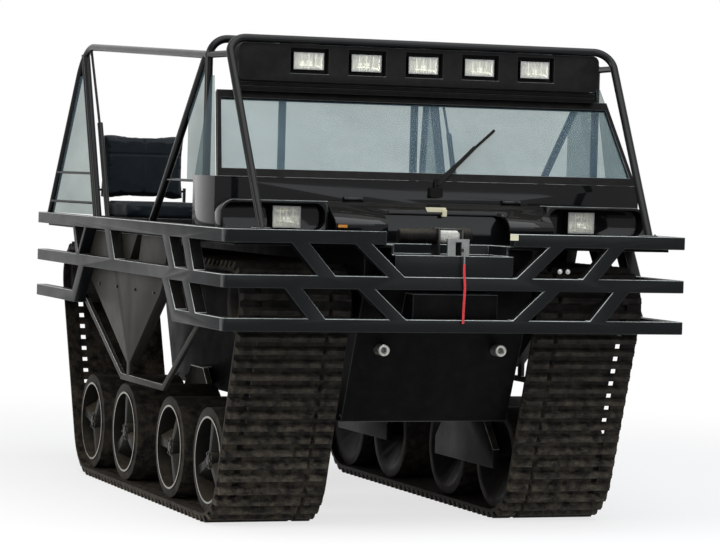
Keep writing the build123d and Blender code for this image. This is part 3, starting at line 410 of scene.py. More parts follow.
@once
def vinyl(name, colour, grain):
    """Grained seat cover with soft sheen."""
    material, tree, shader = node_setup(name)
    base = mix_colour(tree, noise(tree, 7.0, 6.0), shade(colour, 0.75), shade(colour, 1.35))
    film = ramp(tree, noise(tree, 24.0, 8.0, 0.65), [(0.45, grey(0.0)), (0.85, grey(0.04))])
    tree.links.new(mix_colour(tree, film, base, colour_of("dust")), shader.inputs["Base Color"])
    tree.links.new(ramp(tree, noise(tree, 12.0, 5.0), [(0.3, grey(0.42)), (0.8, grey(0.6))]),
                   shader.inputs["Roughness"])
    shader.inputs["Specular IOR Level"].default_value = 0.12
    shader.inputs["Sheen Weight"].default_value = 0.02
    cells = add_node(tree, "ShaderNodeTexVoronoi")
    cells.inputs["Scale"].default_value = grain
    coordinates = add_node(tree, "ShaderNodeTexCoord")
    tree.links.new(coordinates.outputs["Object"], cells.inputs["Vector"])
    fold = bump(tree, noise(tree, 16.0, 4.0, 0.5, (1.0, 1.0, 2.2)), 0.25, 0.004)
    tree.links.new(bump(tree, cells.outputs["Distance"], 0.3, 0.0008, fold), shader.inputs["Normal"])
    return material


@once
def webbing(name, colour, weave):
    """Woven cord cover: crossing diagonal threads."""
    material, tree, shader = node_setup(name)
    coordinates = add_node(tree, "ShaderNodeTexCoord")
    heights = []
    for turn in (0.6, -0.6):
        mapping = add_node(tree, "ShaderNodeMapping")
        mapping.inputs["Rotation"].default_value = (0.0, turn, 0.0)
        wave = add_node(tree, "ShaderNodeTexWave")
        wave.inputs["Scale"].default_value = weave
        tree.links.new(coordinates.outputs["Object"], mapping.inputs["Vector"])
        tree.links.new(mapping.outputs["Vector"], wave.inputs["Vector"])
        heights.append(wave.outputs["Fac"])
    threads = maths(tree, "MAXIMUM", *heights)
    tree.links.new(mix_colour(tree, threads, shade(colour, 0.55), shade(colour, 1.15)), shader.inputs["Base Color"])
    shader.inputs["Roughness"].default_value = 0.8
    shader.inputs["Sheen Weight"].default_value = 0.2
    tree.links.new(bump(tree, threads, 0.5, 0.0012), shader.inputs["Normal"])
    return material


def rail_paint():
    return paint("rail_paint", colour_of("rail"), 0.45, 0.28, 0.10)


def plate_paint():
    return paint("plate_paint", colour_of("plate"), 0.35, 0.4, 0.12)


def body_paint():
    return paint("body_paint", colour_of("body"), 1.0, 0.05, 0.05)


def hull_paint():
    return paint("hull_paint", shade(colour_of("body"), 0.5), 0.1, 0.4, 0.2)


def gear_paint():
    return paint("gear_paint", srgb(10, 10, 10), 0.2, 0.35, 0.35)


def cage_paint():
    return paint("cage_paint", srgb(7, 9, 10), 0.8, 0.1, 0.06)


def dark_plastic():
    return moulded("dark_plastic", srgb(7, 8, 9), 0.55, 900.0)


def soft_black():
    return moulded("soft_black", srgb(5, 5, 6), 0.7, 1300.0)


def bright_steel():
    return metal("bright_steel", srgb(176, 176, 172), 0.3, 0.6)


def dark_steel():
    return metal("dark_steel", srgb(40, 40, 39), 0.42, 0.8)


# Edge finishes: rubbed wear with a painted highlight on edges that face up
def worn_highlit_edge_coat():
    return rubbed_highlit_edge("rubbed_highlit_edge_material", colour_of("rail"), 1.0)


def body_worn_highlit_edge_coat():
    return rubbed_highlit_edge("body_rubbed_highlit_edge_material", colour_of("body"), 0.35)


# Mesh building blocks

def new_object(name, mesh, *materials):
    piece = bpy.data.objects.new(name, mesh)
    bpy.context.scene.collection.objects.link(piece)
    for material in materials:
        mesh.materials.append(material)
    return piece


def bm_object(name, bm, *materials, smooth=None):
    """Object from a bmesh, with smooth faces up to an angle where one is given."""
    mesh = bpy.data.meshes.new(name)
    bm.to_mesh(mesh)
    bm.free()
    if smooth is not None:
        smooth_mesh(mesh, smooth)
    return new_object(name, mesh, *materials)


def smooth_mesh(mesh, angle):
    mesh.polygons.foreach_set("use_smooth", [True] * len(mesh.polygons))
    mesh.set_sharp_from_angle(angle=math.radians(angle))
    mesh.update()


def settle(piece):
    """Turns a piece's modifiers into its plain mesh."""
    graph = bpy.context.evaluated_depsgraph_get()
    mesh = bpy.data.meshes.new_from_object(piece.evaluated_get(graph), preserve_all_data_layers=True,
                                           depsgraph=graph)
    piece.modifiers.clear()
    piece.data = mesh
    return piece


def merged_bm(names):
    """Bmesh of CAD nodes with doubles merged and flat triangles joined."""
    bm = bmesh.new()
    for name in names:
        bm.from_mesh(nodes[name].data)
    bmesh.ops.remove_doubles(bm, verts=bm.verts, dist=1e-5)
    bmesh.ops.dissolve_limit(bm, angle_limit=math.radians(0.8), verts=bm.verts, edges=bm.edges)
    return bm


def bevel(piece, width, edge_slot, segments=2, angle=32):
    modifier = piece.modifiers.new("edges", "BEVEL")
    modifier.width = width
    modifier.segments = segments
    modifier.limit_method = "ANGLE"
    modifier.angle_limit = math.radians(angle)
    modifier.material = edge_slot
    modifier.use_clamp_overlap = True
    settle(piece)


def dressed(names, piece_name, width, face, edge, body="frame"):
    """Bevelled copy of CAD nodes that stands for them."""
    piece = bm_object(piece_name, merged_bm(names), face, edge)
    bevel(piece, width, 1)
    smooth_mesh(piece.data, 30)
    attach(piece, body)
    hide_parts(*names)
    return piece


def add_box(bm, low, high, slot=0):
    """Box between two corners, with outward faces."""
    (x0, y0, z0), (x1, y1, z1) = low, high
    corners = [bm.verts.new(place) for place in ((x0, y0, z0), (x1, y0, z0), (x1, y1, z0), (x0, y1, z0),
                                                 (x0, y0, z1), (x1, y0, z1), (x1, y1, z1), (x0, y1, z1))]
    for loop in ((3, 2, 1, 0), (4, 5, 6, 7), (0, 1, 5, 4), (1, 2, 6, 5), (2, 3, 7, 6), (3, 0, 4, 7)):
        face = bm.faces.new([corners[index] for index in loop])
        face.material_index = slot
    return corners


def add_lathe(bm, profile, place, axis, steps=32, slot=0):
    """Turned shape about an axis, from (along, radius) points, with closed ends."""
    axis = Vector(axis).normalized()
    turn = Vector((1, 0, 0)).rotation_difference(axis).to_matrix().to_4x4()
    shift = Matrix.Translation(place) @ turn
    rings = []
    for along, radius in profile:
        ring = []
        for step in range(steps):
            angle = 2 * math.pi * step / steps
            ring.append(bm.verts.new(shift @ Vector((along, radius * math.cos(angle), radius * math.sin(angle)))))
        rings.append(ring)
    for near, far in zip(rings, rings[1:]):
        for step in range(steps):
            following = (step + 1) % steps
            face = bm.faces.new((near[step], far[step], far[following], near[following]))
            face.material_index = slot
    for ring in (rings[0], list(reversed(rings[-1]))):
        face = bm.faces.new(ring)
        face.material_index = slot


def recalculated(bm):
    bmesh.ops.recalc_face_normals(bm, faces=bm.faces)
    return bm


def hex_bolt(radius, height):
    """Hexagon head with a washer, standing up from the origin."""
    bm = bmesh.new()
    add_lathe(bm, [(0, radius * 1.45), (height * 0.22, radius * 1.45), (height * 0.24, radius * 1.05)],
              (0, 0, 0), (0, 0, 1), 16)
    add_lathe(bm, [(height * 0.2, radius), (height * 0.92, radius), (height, radius * 0.86)],
              (0, 0, 0), (0, 0, 1), 6)
    return recalculated(bm)


# Repeats laid out by geometry nodes

def repeat_tree(name, piece, material):
    """Node tree that sets a piece on every point, turned by the point's own attribute."""
    tree = bpy.data.node_groups.new(name, "GeometryNodeTree")
    tree.interface.new_socket("Points", in_out="INPUT", socket_type="NodeSocketGeometry")
    size = tree.interface.new_socket("Size", in_out="INPUT", socket_type="NodeSocketFloat")
    size.default_value = 1.0
    tree.interface.new_socket("Pieces", in_out="OUTPUT", socket_type="NodeSocketGeometry")
    start = tree.nodes.new("NodeGroupInput")
    end = tree.nodes.new("NodeGroupOutput")
    source = tree.nodes.new("GeometryNodeObjectInfo")
    source.inputs["Object"].default_value = piece
    source.transform_space = "ORIGINAL"
    turn = tree.nodes.new("GeometryNodeInputNamedAttribute")
    turn.data_type = "FLOAT_VECTOR"
    turn.inputs["Name"].default_value = "turn"
    rotation = tree.nodes.new("FunctionNodeEulerToRotation")
    place = tree.nodes.new("GeometryNodeInstanceOnPoints")
    real = tree.nodes.new("GeometryNodeRealizeInstances")
    coat = tree.nodes.new("GeometryNodeSetMaterial")
    coat.inputs["Material"].default_value = material
    tree.links.new(start.outputs["Points"], place.inputs["Points"])
    tree.links.new(start.outputs["Size"], place.inputs["Scale"])
    tree.links.new(source.outputs["Geometry"], place.inputs["Instance"])
    tree.links.new(turn.outputs["Attribute"], rotation.inputs["Euler"])
    tree.links.new(rotation.outputs["Rotation"], place.inputs["Rotation"])
    tree.links.new(place.outputs["Instances"], real.inputs["Geometry"])
    tree.links.new(real.outputs["Geometry"], coat.inputs["Geometry"])
    tree.links.new(coat.outputs["Geometry"], end.inputs["Pieces"])
    return tree, size.identifier


def repeat(name, points, piece_bm, material, body="frame", size=1.0, smooth=35):
    """One mesh of a small piece set at many (place, Euler turn) points."""
    sample = bm_object(name + "_sample", piece_bm)
    cloud = bpy.data.meshes.new(name)
    cloud.from_pydata([tuple(place) for place, _ in points], [], [])
    turns = cloud.attributes.new("turn", "FLOAT_VECTOR", "POINT")
    turns.data.foreach_set("vector", [value for _, turn in points for value in turn])
    result = new_object(name, cloud)
    tree, size_key = repeat_tree(name + "_tree", sample, material)
    modifier = result.modifiers.new("repeat", "NODES")
    modifier.node_group = tree
    modifier[size_key] = size
    settle(result)
    for attribute in [item for item in result.data.attributes if item.name == "turn"]:
        result.data.attributes.remove(attribute)
    bpy.data.objects.remove(sample)
    smooth_mesh(result.data, smooth)
    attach(result, body)
    return result


FORWARD = (math.pi / 2, 0.0, 0.0)
UPWARD = (0.0, 0.0, 0.0)
DOWNWARD = (math.pi, 0.0, 0.0)
BACKWARD = (-math.pi / 2, 0.0, 0.0)


def outward(side):
    """Turn that points a piece's top to the right side or to the left side."""
    return (0.0, side * math.pi / 2, 0.0)


# Stage

class CARRIER_OT_stage(bpy.types.Operator):
    """Floor, world, lamps and the camera at the picture's angle"""
    bl_idname = "carrier.stage"
    bl_label = "Stage"

    def execute(self, context):
        settings = context.scene.carrier_stage
        make_camera(settings)
        make_world()
        make_floor(settings)
        make_lamps()
        return {"FINISHED"}


def make_camera(settings):
    camera = bpy.data.cameras.new("view")
    camera.lens = settings.camera_lens
    camera.sensor_width = 36.0
    camera.clip_end = 200.0
    holder = bpy.data.objects.new("view", camera)
    bpy.context.scene.collection.objects.link(holder)
    yaw, pitch, roll = settings.camera_yaw, settings.camera_pitch, settings.camera_roll
    ahead = Vector((math.sin(yaw) * math.cos(pitch), math.cos(yaw) * math.cos(pitch), -math.sin(pitch)))
    right = Vector((math.cos(yaw), -math.sin(yaw), 0.0))
    up = right.cross(ahead)
    tilted_right = right * math.cos(roll) + up * math.sin(roll)
    tilted_up = up * math.cos(roll) - right * math.sin(roll)
    turn = Matrix((tilted_right, tilted_up, -ahead)).transposed().to_4x4()
    holder.matrix_world = Matrix.Translation(settings.camera_place) @ turn
    bpy.context.scene.camera = holder


def seen_directly(tree):
    """One for rays from the camera, from gloss and through glass."""
    path = tree.nodes.new("ShaderNodeLightPath")
    seen = maths(tree, "MAXIMUM", path.outputs["Is Camera Ray"], path.outputs["Is Glossy Ray"])
    return maths(tree, "MAXIMUM", seen, path.outputs["Is Transmission Ray"])


def make_world():
    """White to the camera and in reflections, and a soft level of light elsewhere."""
    world = bpy.data.worlds.new("studio")
    bpy.context.scene.world = world
    world.use_nodes = True
    tree = world.node_tree
    tree.nodes.clear()
    output = tree.nodes.new("ShaderNodeOutputWorld")
    ambient = tree.nodes.new("ShaderNodeBackground")
    ambient.inputs["Color"].default_value = srgb(226, 232, 240)
    ambient.inputs["Strength"].default_value = 0.55
    backdrop = tree.nodes.new("ShaderNodeBackground")
    backdrop.inputs["Color"].default_value = (1.0, 1.0, 1.0, 1.0)
    mix = tree.nodes.new("ShaderNodeMixShader")
    tree.links.new(seen_directly(tree), mix.inputs[0])
    tree.links.new(ambient.outputs[0], mix.inputs[1])
    tree.links.new(backdrop.outputs[0], mix.inputs[2])
    tree.links.new(mix.outputs[0], output.inputs["Surface"])


def make_floor(settings):
    half = 40.0
    mesh = bpy.data.meshes.new("floor")
    mesh.from_pydata([(-half, -half, 0), (half, -half, 0), (half, half, 0), (-half, half, 0)], [], [(0, 1, 2, 3)])
    material, tree, shader = node_setup("floor")
    shader.inputs["Roughness"].default_value = 0.9
    shader.inputs["Specular IOR Level"].default_value = 0.0
    colour = (*settings.floor_colour, 1.0)
    tree.links.new(ramp(tree, noise(tree, 30.0), [(0.0, colour), (1.0, shade(colour, 1.03))]),
                   shader.inputs["Base Color"])
    glow = tree.nodes.new("ShaderNodeEmission")
    glow.inputs["Color"].default_value = (1.0, 1.0, 1.0, 1.0)
    distance = add_node(tree, "ShaderNodeVectorMath", operation="LENGTH")
    coordinates = add_node(tree, "ShaderNodeTexCoord")
    tree.links.new(coordinates.outputs["Object"], distance.inputs[0])
    fade = add_node(tree, "ShaderNodeMapRange", interpolation_type="SMOOTHSTEP")
    fade.inputs["From Min"].default_value = 2.2
    fade.inputs["From Max"].default_value = 7.0
    fade.inputs["To Min"].default_value = settings.floor_glow
    fade.inputs["To Max"].default_value = 1.0
    tree.links.new(distance.outputs["Value"], fade.inputs["Value"])
    mix = tree.nodes.new("ShaderNodeMixShader")
    tree.links.new(maths(tree, "MULTIPLY", seen_directly(tree), fade.outputs["Result"]), mix.inputs[0])
    tree.links.new(shader.outputs[0], mix.inputs[1])
    tree.links.new(glow.outputs[0], mix.inputs[2])
    tree.links.new(mix.outputs[0], tree.nodes["Material Output"].inputs["Surface"])
    new_object("floor", mesh, material)


def area_lamp(name, place, target, size, power, colour):
    lamp = bpy.data.lights.new(name, "AREA")
    lamp.shape = "RECTANGLE"
    lamp.size, lamp.size_y = size
    lamp.energy = power
    lamp.color = colour
    holder = bpy.data.objects.new(name, lamp)
    bpy.context.scene.collection.objects.link(holder)
    direction = Vector(target) - Vector(place)
    holder.matrix_world = Matrix.Translation(place) @ direction.to_track_quat("-Z", "Y").to_matrix().to_4x4()


def make_lamps():
    area_lamp("overhead", (0.0, -3.0, 6.5), (0.0, -0.4, 1.2), (7.0, 6.0), 420.0, (0.95, 0.98, 1.0))
    area_lamp("right_side", (-8.0, -2.0, 3.4), (0.0, 0.0, 1.0), (4.0, 4.0), 420.0, (1.0, 0.94, 0.86))
    area_lamp("front_fill", (2.0, -10.0, 4.0), (0.0, 0.0, 1.0), (5.0, 4.0), 150.0, (0.92, 0.97, 1.0))


# Strap on the winch hook

STRAP_ROUTE = [
    (0.008, -1.756, 1.264), (0.008, -1.756, 1.216), (0.015, -1.756, 1.166), (0.013, -1.755, 1.110),
    (0.010, -1.756, 1.052), (0.009, -1.757, 0.990),
]
STRAP_DIAMETER = 0.011


class CARRIER_OT_strap(bpy.types.Operator):
    """Red strap that hangs from the winch hook"""
    bl_idname = "carrier.strap"
    bl_label = "Hook strap"

    def execute(self, context):
        curve = bpy.data.curves.new("hook_strap_cord", "CURVE")
        curve.dimensions = "3D"
        curve.bevel_depth = STRAP_DIAMETER / 2
        curve.bevel_resolution = 4
        curve.use_fill_caps = True
        spline = curve.splines.new("NURBS")
        spline.points.add(len(STRAP_ROUTE) - 1)
        for point, place in zip(spline.points, STRAP_ROUTE):
            point.co = (*place, 1.0)
        spline.order_u = 3
        spline.use_endpoint_u = True
        spline.resolution_u = 12
        curve.materials.append(webbing("strap_weave", srgb(196, 30, 38), 190.0))
        cord = bpy.data.objects.new("hook_strap_cord", curve)
        context.scene.collection.objects.link(cord)
        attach(cord, "frame")
        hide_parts("hook_strap")
        return {"FINISHED"}


# Tracks

def wheel_circle(node, index):
    """Middle (y, z) and radius of the first or last wheel in a node."""
    low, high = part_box(node)
    radius = (high.z - low.z) / 2
    y = low.y + radius if index == 0 else high.y - radius
    return y, (low.z + high.z) / 2, radius + 0.0003


def loop_circles():
    return [wheel_circle("road_wheels_right", 0), wheel_circle("road_wheels_right", -1),
            wheel_circle("end_wheels_right", -1), wheel_circle("end_wheels_right", 0)]


def loop_pieces(offset):
    """Arcs and straight runs of the belt at an offset outside the wheels, in order."""
    circles = loop_circles()
    normals = []
    for (y0, z0, r0), (y1, z1, r1) in zip(circles, circles[1:] + circles[:1]):
        length = math.hypot(y1 - y0, z1 - z0)
        along = ((y1 - y0) / length, (z1 - z0) / length)
        lean = (r0 - r1) / length
        out = math.sqrt(1 - lean * lean)
        normals.append((along[0] * lean + along[1] * out, along[1] * lean - along[0] * out))
    pieces = []
    for index, (y, z, radius) in enumerate(circles):
        before, after = normals[index - 1], normals[index]
        start = math.atan2(before[1], before[0])
        turn = (math.atan2(after[1], after[0]) - start) % (2 * math.pi)
        reach = radius + offset
        pieces.append(("arc", (y, z), reach, start, turn))
        y1, z1, r1 = circles[(index + 1) % len(circles)]
        far = r1 + offset
        pieces.append(("run", (y + after[0] * reach, z + after[1] * reach),
                       (y1 + after[0] * far, z1 + after[1] * far), after))
    return pieces


def piece_length(piece):
    return piece[2] * piece[4] if piece[0] == "arc" else math.dist(piece[1], piece[2])


def loop_place(pieces, distance):
    """Point and outward normal at a distance along the loop."""
    distance %= sum(piece_length(piece) for piece in pieces)
    for piece in pieces:
        length = piece_length(piece)
        if distance <= length:
            break
        distance -= length
    if piece[0] == "arc":
        angle = piece[3] + distance / piece[2]
        normal = (math.cos(angle), math.sin(angle))
        return (piece[1][0] + normal[0] * piece[2], piece[1][1] + normal[1] * piece[2]), normal
    share = distance / length
    return tuple(p + (q - p) * share for p, q in zip(piece[1], piece[2])), piece[3]


def lug_outline(settings):
    """Foot and tip half widths and the height of a lug."""
    return settings.lug_foot / 2, settings.lug_tip / 2, settings.lug_height


def lug_piece(start, end, settings):
    """Lug bar along X with sloping ends and a hollow in its top."""
    foot, tip, height = lug_outline(settings)
    slope = 0.010
    bm = bmesh.new()
    stations = [(start, 0.0), (start + slope, 1.0), (end - slope, 1.0), (end, 0.0)]
    rings = []
    for x, rise in stations:
        width = foot + (tip - foot) * rise
        ring = [(-foot, 0.0), (-width - 0.001, height * rise * 0.85), (-width + 0.003, height * rise),
                (0.0, height * rise - 0.0025 * rise), (width - 0.003, height * rise),
                (width + 0.001, height * rise * 0.85), (foot, 0.0)]
        rings.append([bm.verts.new((x, y, z - 0.0005)) for y, z in ring])
    for near, far in zip(rings, rings[1:]):
        for index in range(len(near) - 1):
            bm.faces.new((near[index], near[index + 1], far[index + 1], far[index]))
    return recalculated(bm)


class CARRIER_OT_tracks(bpy.types.Operator):
    """Two belts with their lugs and drive holes"""
    bl_idname = "carrier.tracks"
    bl_label = "Tracks"

    def execute(self, context):
        settings = context.scene.carrier_track
        belt_rubber = rubber("belt_rubber", srgb(6, 6, 6), 0.45, 0.2, 1.4)
        lug_rubber = rubber("lug_rubber", srgb(16, 15, 14), 0.75, 0.1, 1.3)
        for side, sign in SIDES:
            low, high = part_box("track_" + side)
            outer = min(low.x, high.x) if sign < 0 else max(low.x, high.x)
            inner = max(low.x, high.x) if sign < 0 else min(low.x, high.x)
            make_belt(side, inner, outer, settings, belt_rubber)
            make_lugs(side, inner, outer, settings, lug_rubber)
        return {"FINISHED"}


def lug_count(settings):
    length = sum(piece_length(piece) for piece in loop_pieces(settings.belt_thickness))
    return round(length / settings.lug_pitch), length


def make_belt(side, inner, outer, settings, material):
    """Belt as a closed band with a row of square holes near its outer edge."""
    sign = 1 if outer > inner else -1
    hole_out = outer - sign * settings.hole_start
    hole_in = hole_out - sign * settings.hole_width
    columns = [inner, hole_in, hole_out, outer]
    count, _ = lug_count(settings)
    face_pieces = {0.0: loop_pieces(0.0), settings.belt_thickness: loop_pieces(settings.belt_thickness)}
    lengths = {offset: sum(piece_length(piece) for piece in pieces) for offset, pieces in face_pieces.items()}
    hole_share = settings.hole_length / settings.lug_pitch
    shares = []
    for index in range(count):
        shares.extend([(index - hole_share / 2) / count, (index + hole_share / 2) / count])
    bm = bmesh.new()
    grid = {}
    for offset, pieces in face_pieces.items():
        for row, share in enumerate(shares):
            (y, z), _ = loop_place(pieces, share * lengths[offset])
            for column, x in enumerate(columns):
                grid[offset, row, column] = bm.verts.new((x, y, z))
    low, high = sorted(face_pieces)
    rows = len(shares)
    for row in range(rows):
        following = (row + 1) % rows
        is_hole = row % 2 == 0
        for column in range(len(columns) - 1):
            if is_hole and column == 1:
                for a, b in (((row, 1), (row, 2)), ((row, 2), (following, 2)),
                             ((following, 2), (following, 1)), ((following, 1), (row, 1))):
                    bm.faces.new((grid[low, a[0], a[1]], grid[low, b[0], b[1]],
                                  grid[high, b[0], b[1]], grid[high, a[0], a[1]]))
                continue
            for offset in (low, high):
                bm.faces.new((grid[offset, row, column], grid[offset, following, column],
                              grid[offset, following, column + 1], grid[offset, row, column + 1]))
        for column in (0, len(columns) - 1):
            bm.faces.new((grid[low, row, column], grid[low, following, column],
                          grid[high, following, column], grid[high, row, column]))
    belt = bm_object("belt_" + side, recalculated(bm), material, smooth=25)
    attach(belt, "frame")
    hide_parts("track_" + side)


def make_lugs(side, inner, outer, settings, material):
    count, length = lug_count(settings)
    pieces = loop_pieces(settings.belt_thickness)
    width = abs(outer - inner)
    middle = (outer + inner) / 2
    seam_gap = 0.004
    seam = -width / 2 + width * settings.seam_share
    points = []
    for index in range(count):
        (y, z), normal = loop_place(pieces, (index + 0.5) * length / count)
        turn = 0.0 if outer > inner else math.pi
        points.append(((middle, y, z), (math.atan2(-normal[0], normal[1]), 0.0, turn)))
    if outer < inner:
        points = [(place, (-turn[0], 0.0, math.pi)) for place, turn in points]
    bm = lug_piece(-width / 2 + 0.001, seam - seam_gap / 2, settings)
    long_part = lug_piece(seam + seam_gap / 2, width / 2 - 0.001, settings)
    extra = bpy.data.meshes.new("long_part")
    long_part.to_mesh(extra)
    long_part.free()
    bm.from_mesh(extra)
    lugs = repeat("lugs_" + side, points, bm, material)


# Wheels

TYRE_WALL = 0.042
COVER_FLOOR = 0.900
COVER_REACH = 0.1965
SPOKE_TURNS = (80.0, 55.0, 92.0, 50.0)


class CARRIER_OT_wheels(bpy.types.Operator):
    """Wheels with rubber treads, bright rims, covers with three spokes, hub caps and nuts"""
    bl_idname = "carrier.wheels"
    bl_label = "Wheels"

    def execute(self, context):
        tread = rubber("tyre_rubber", srgb(8, 8, 8), 0.35, 0.1, 1.2)
        dish = paint("dish_paint", srgb(14, 14, 13), 0.2, 0.35, 0.3)
        rim = metal("rim_metal", srgb(150, 148, 140), 0.35, 0.5)
        for kind in ("road_wheels", "end_wheels"):
            for side, _ in SIDES:
                dress_wheels(kind, side, TYRE_WALL, tread, dish, rim)
        for side, sign in SIDES:
            make_wheel_covers(side, sign, dish)
        make_wheel_nuts()
        return {"FINISHED"}


def make_wheel_covers(side, sign, floor_paint):
    """Dark floor, hub and three spokes that stand in the mouth of each road wheel; lighter spoke paint is a painted
    highlight.
    """
    places, _ = wheel_places("road_wheels", side)
    floor_back = COVER_FLOOR - 0.004
    hub = [(floor_back, 0.060), (0.966, 0.046), (0.968, 0.044)]
    bm = bmesh.new()
    for (y, z), turn in zip(places, SPOKE_TURNS):
        add_lathe(bm, [(floor_back, COVER_REACH), (COVER_FLOOR, COVER_REACH)], (0, y, z), (sign, 0, 0), 64, 0)
        add_lathe(bm, hub, (0, y, z), (sign, 0, 0), 32, 1)
        for index in range(3):
            add_spoke(bm, sign, y, z, math.radians(turn + 120 * index))
    # the spokes take a lighter copy of the dish paint: a painted highlight on the spokes
    covers = bm_object("wheel_covers_" + side, recalculated(bm), floor_paint,
                       paint("spoke_paint", srgb(22, 22, 20), 0.3, 0.3, 0.35))
    bevel_plain(covers, 0.002)
    smooth_mesh(covers.data, 32)
    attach(covers, "frame")


def add_spoke(bm, sign, y, z, angle):
    """Wedge spoke from hub to rim, narrower along its outer ridge than at its foot."""
    along = (-math.cos(angle), math.sin(angle))
    across = (math.sin(angle), math.cos(angle))
    ends = [(0.018, 0.966, 0.014, 0.040), (COVER_REACH - 0.004, 0.962, 0.024, 0.062)]
    foot = COVER_FLOOR - 0.002
    rings = []
    for reach, ridge, ridge_half, foot_half in ends:
        ring = []
        for x, half in ((ridge, -ridge_half), (ridge, ridge_half), (foot, foot_half), (foot, -foot_half)):
            ring.append(bm.verts.new((sign * x, y + along[0] * reach + across[0] * half,
                                      z + along[1] * reach + across[1] * half)))
        rings.append(ring)
    near, far = rings
    faces = [near, list(reversed(far))]
    for index in range(4):
        following = (index + 1) % 4
        faces.append((near[index], near[following], far[following], far[index]))
    for corners in faces:
        bm.faces.new(corners).material_index = 1


def bevel_plain(piece, width):
    """Bevel that keeps each face's own material."""
    modifier = piece.modifiers.new("edges", "BEVEL")
    modifier.width = width
    modifier.segments = 2
    modifier.limit_method = "ANGLE"
    modifier.angle_limit = math.radians(40)
    modifier.use_clamp_overlap = True
    settle(piece)


def wheel_places(kind, side):
    """Middles (y, z) and radius of the wheels in a node."""
    low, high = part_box(f"{kind}_{side}")
    radius = (high.z - low.z) / 2
    first, last = low.y + radius, high.y - radius
    z = (low.z + high.z) / 2
    if kind == "end_wheels":
        return [(first, z), (last, z)], radius
    spare = last - first - 6 * radius
    step = 2 * radius
    return [(first, z), (first + step + spare * 5 / 21, z), (first + 2 * step + spare * 16 / 21, z), (last, z)], radius


def dress_wheels(kind, side, wall, tread, dish, rim):
    """Copy of the wheels with its faces given to tread, dish and rim by radius."""
    places, radius = wheel_places(kind, side)
    low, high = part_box(f"{kind}_{side}")
    outer = low.x if side == "right" else high.x
    bm = merged_bm([f"{kind}_{side}"])
    for face in bm.faces:
        middle = face.calc_center_median()
        y, z = min(places, key=lambda place: math.hypot(middle.y - place[0], middle.z - place[1]))
        reach = min(math.hypot(vert.co.y - y, vert.co.z - z) for vert in face.verts)
        if reach > radius - wall - 0.001:
            face.material_index = 0
        elif abs(middle.x - outer) < 0.008 and reach > radius - wall - 0.011:
            face.material_index = 2
        else:
            face.material_index = 1
    piece = bm_object(f"{kind}_{side}_dressed", bm, tread, dish, rim)
    bevel_plain(piece, 0.004)
    smooth_mesh(piece.data, 32)
    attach(piece, "frame")
    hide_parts(f"{kind}_{side}")


def make_wheel_nuts():
    """Hub caps with a ring of nuts on the covers of the road wheels."""
    hub_face = 0.968
    nut_circle = 0.033
    nuts = 6
    caps = bmesh.new()
    points = []
    for side, sign in SIDES:
        places, _ = wheel_places("road_wheels", side)
        for y, z in places:
            add_lathe(caps, [(0, 0.024), (0.004, 0.024), (0.007, 0.018), (0.008, 0.008)], (sign * hub_face, y, z),
                      (sign, 0, 0), 24)
            for index in range(nuts):
                angle = 2 * math.pi * index / nuts
                points.append(((sign * hub_face, y + nut_circle * math.cos(angle),
                                z + nut_circle * math.sin(angle)), outward(sign)))
    cap = bm_object("hub_caps", recalculated(caps), dark_steel(), smooth=35)
    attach(cap, "frame")
    ring = repeat("wheel_nuts", points, hex_bolt(0.0065, 0.007), dark_steel())


# Guard, hull and body panels

PANELS = [
    # nodes, piece, bevel width, face finish, edge finish, body
    (("guard_front",), "guard_front_rails", 0.0035, rail_paint, worn_highlit_edge_coat, "frame"),
    (("guard_right",), "guard_right_rails", 0.0035, rail_paint, worn_highlit_edge_coat, "frame"),
    (("guard_left",), "guard_left_rails", 0.0035, rail_paint, worn_highlit_edge_coat, "frame"),
    (("vee_right",), "side_plate_right", 0.002, plate_paint, worn_highlit_edge_coat, "frame"),
    (("vee_left",), "side_plate_left", 0.002, plate_paint, worn_highlit_edge_coat, "frame"),
    (("winch_tray",), "tray_sheet", 0.0022, rail_paint, worn_highlit_edge_coat, "frame"),
    (("hull",), "hull_shell", 0.004, hull_paint, body_worn_highlit_edge_coat, "frame"),
    (("deck_right", "deck_left", "deck_centre"), "deck_plates", 0.002, hull_paint, worn_highlit_edge_coat, "frame"),
    (("cowl",), "cowl_shell", 0.004, body_paint, body_worn_highlit_edge_coat, "frame"),
    (("nose",), "nose_shell", 0.004, body_paint, body_worn_highlit_edge_coat, "frame"),
    (("hood",), "hood_lid", 0.003, body_paint, body_worn_highlit_edge_coat, "hood"),
    (("windscreen_frame",), "screen_frame", 0.002, soft_black, body_worn_highlit_edge_coat, "frame"),
    (("lamp_bar",), "lamp_bar_shell", 0.004, dark_plastic, body_worn_highlit_edge_coat, "frame"),
    (("dashboard",), "dash_moulding", 0.008, soft_black, soft_black, "frame"),
    (("seat_bases",), "seat_plinths", 0.004, dark_plastic, body_worn_highlit_edge_coat, "frame"),
    (("seat_posts",), "post_bars", 0.002, gear_paint, worn_highlit_edge_coat, "frame"),
    (("bogies_right",), "beams_right", 0.004, gear_paint, worn_highlit_edge_coat, "frame"),
    (("bogies_left",), "beams_left", 0.004, gear_paint, worn_highlit_edge_coat, "frame"),
    (("end_axles",), "end_axle_stubs", 0.003, gear_paint, worn_highlit_edge_coat, "frame"),
    (("engine",), "engine_block", 0.01, dark_steel, dark_steel, "frame"),
]


class CARRIER_OT_panels(bpy.types.Operator):
    """Rails, plates, hull and body with soft edges that catch the light"""
    bl_idname = "carrier.panels"
    bl_label = "Panels"

    def execute(self, context):
        for names, piece_name, width, face, edge, body in PANELS:
            dressed(names, piece_name, width, face(), edge(), body)
        return {"FINISHED"}


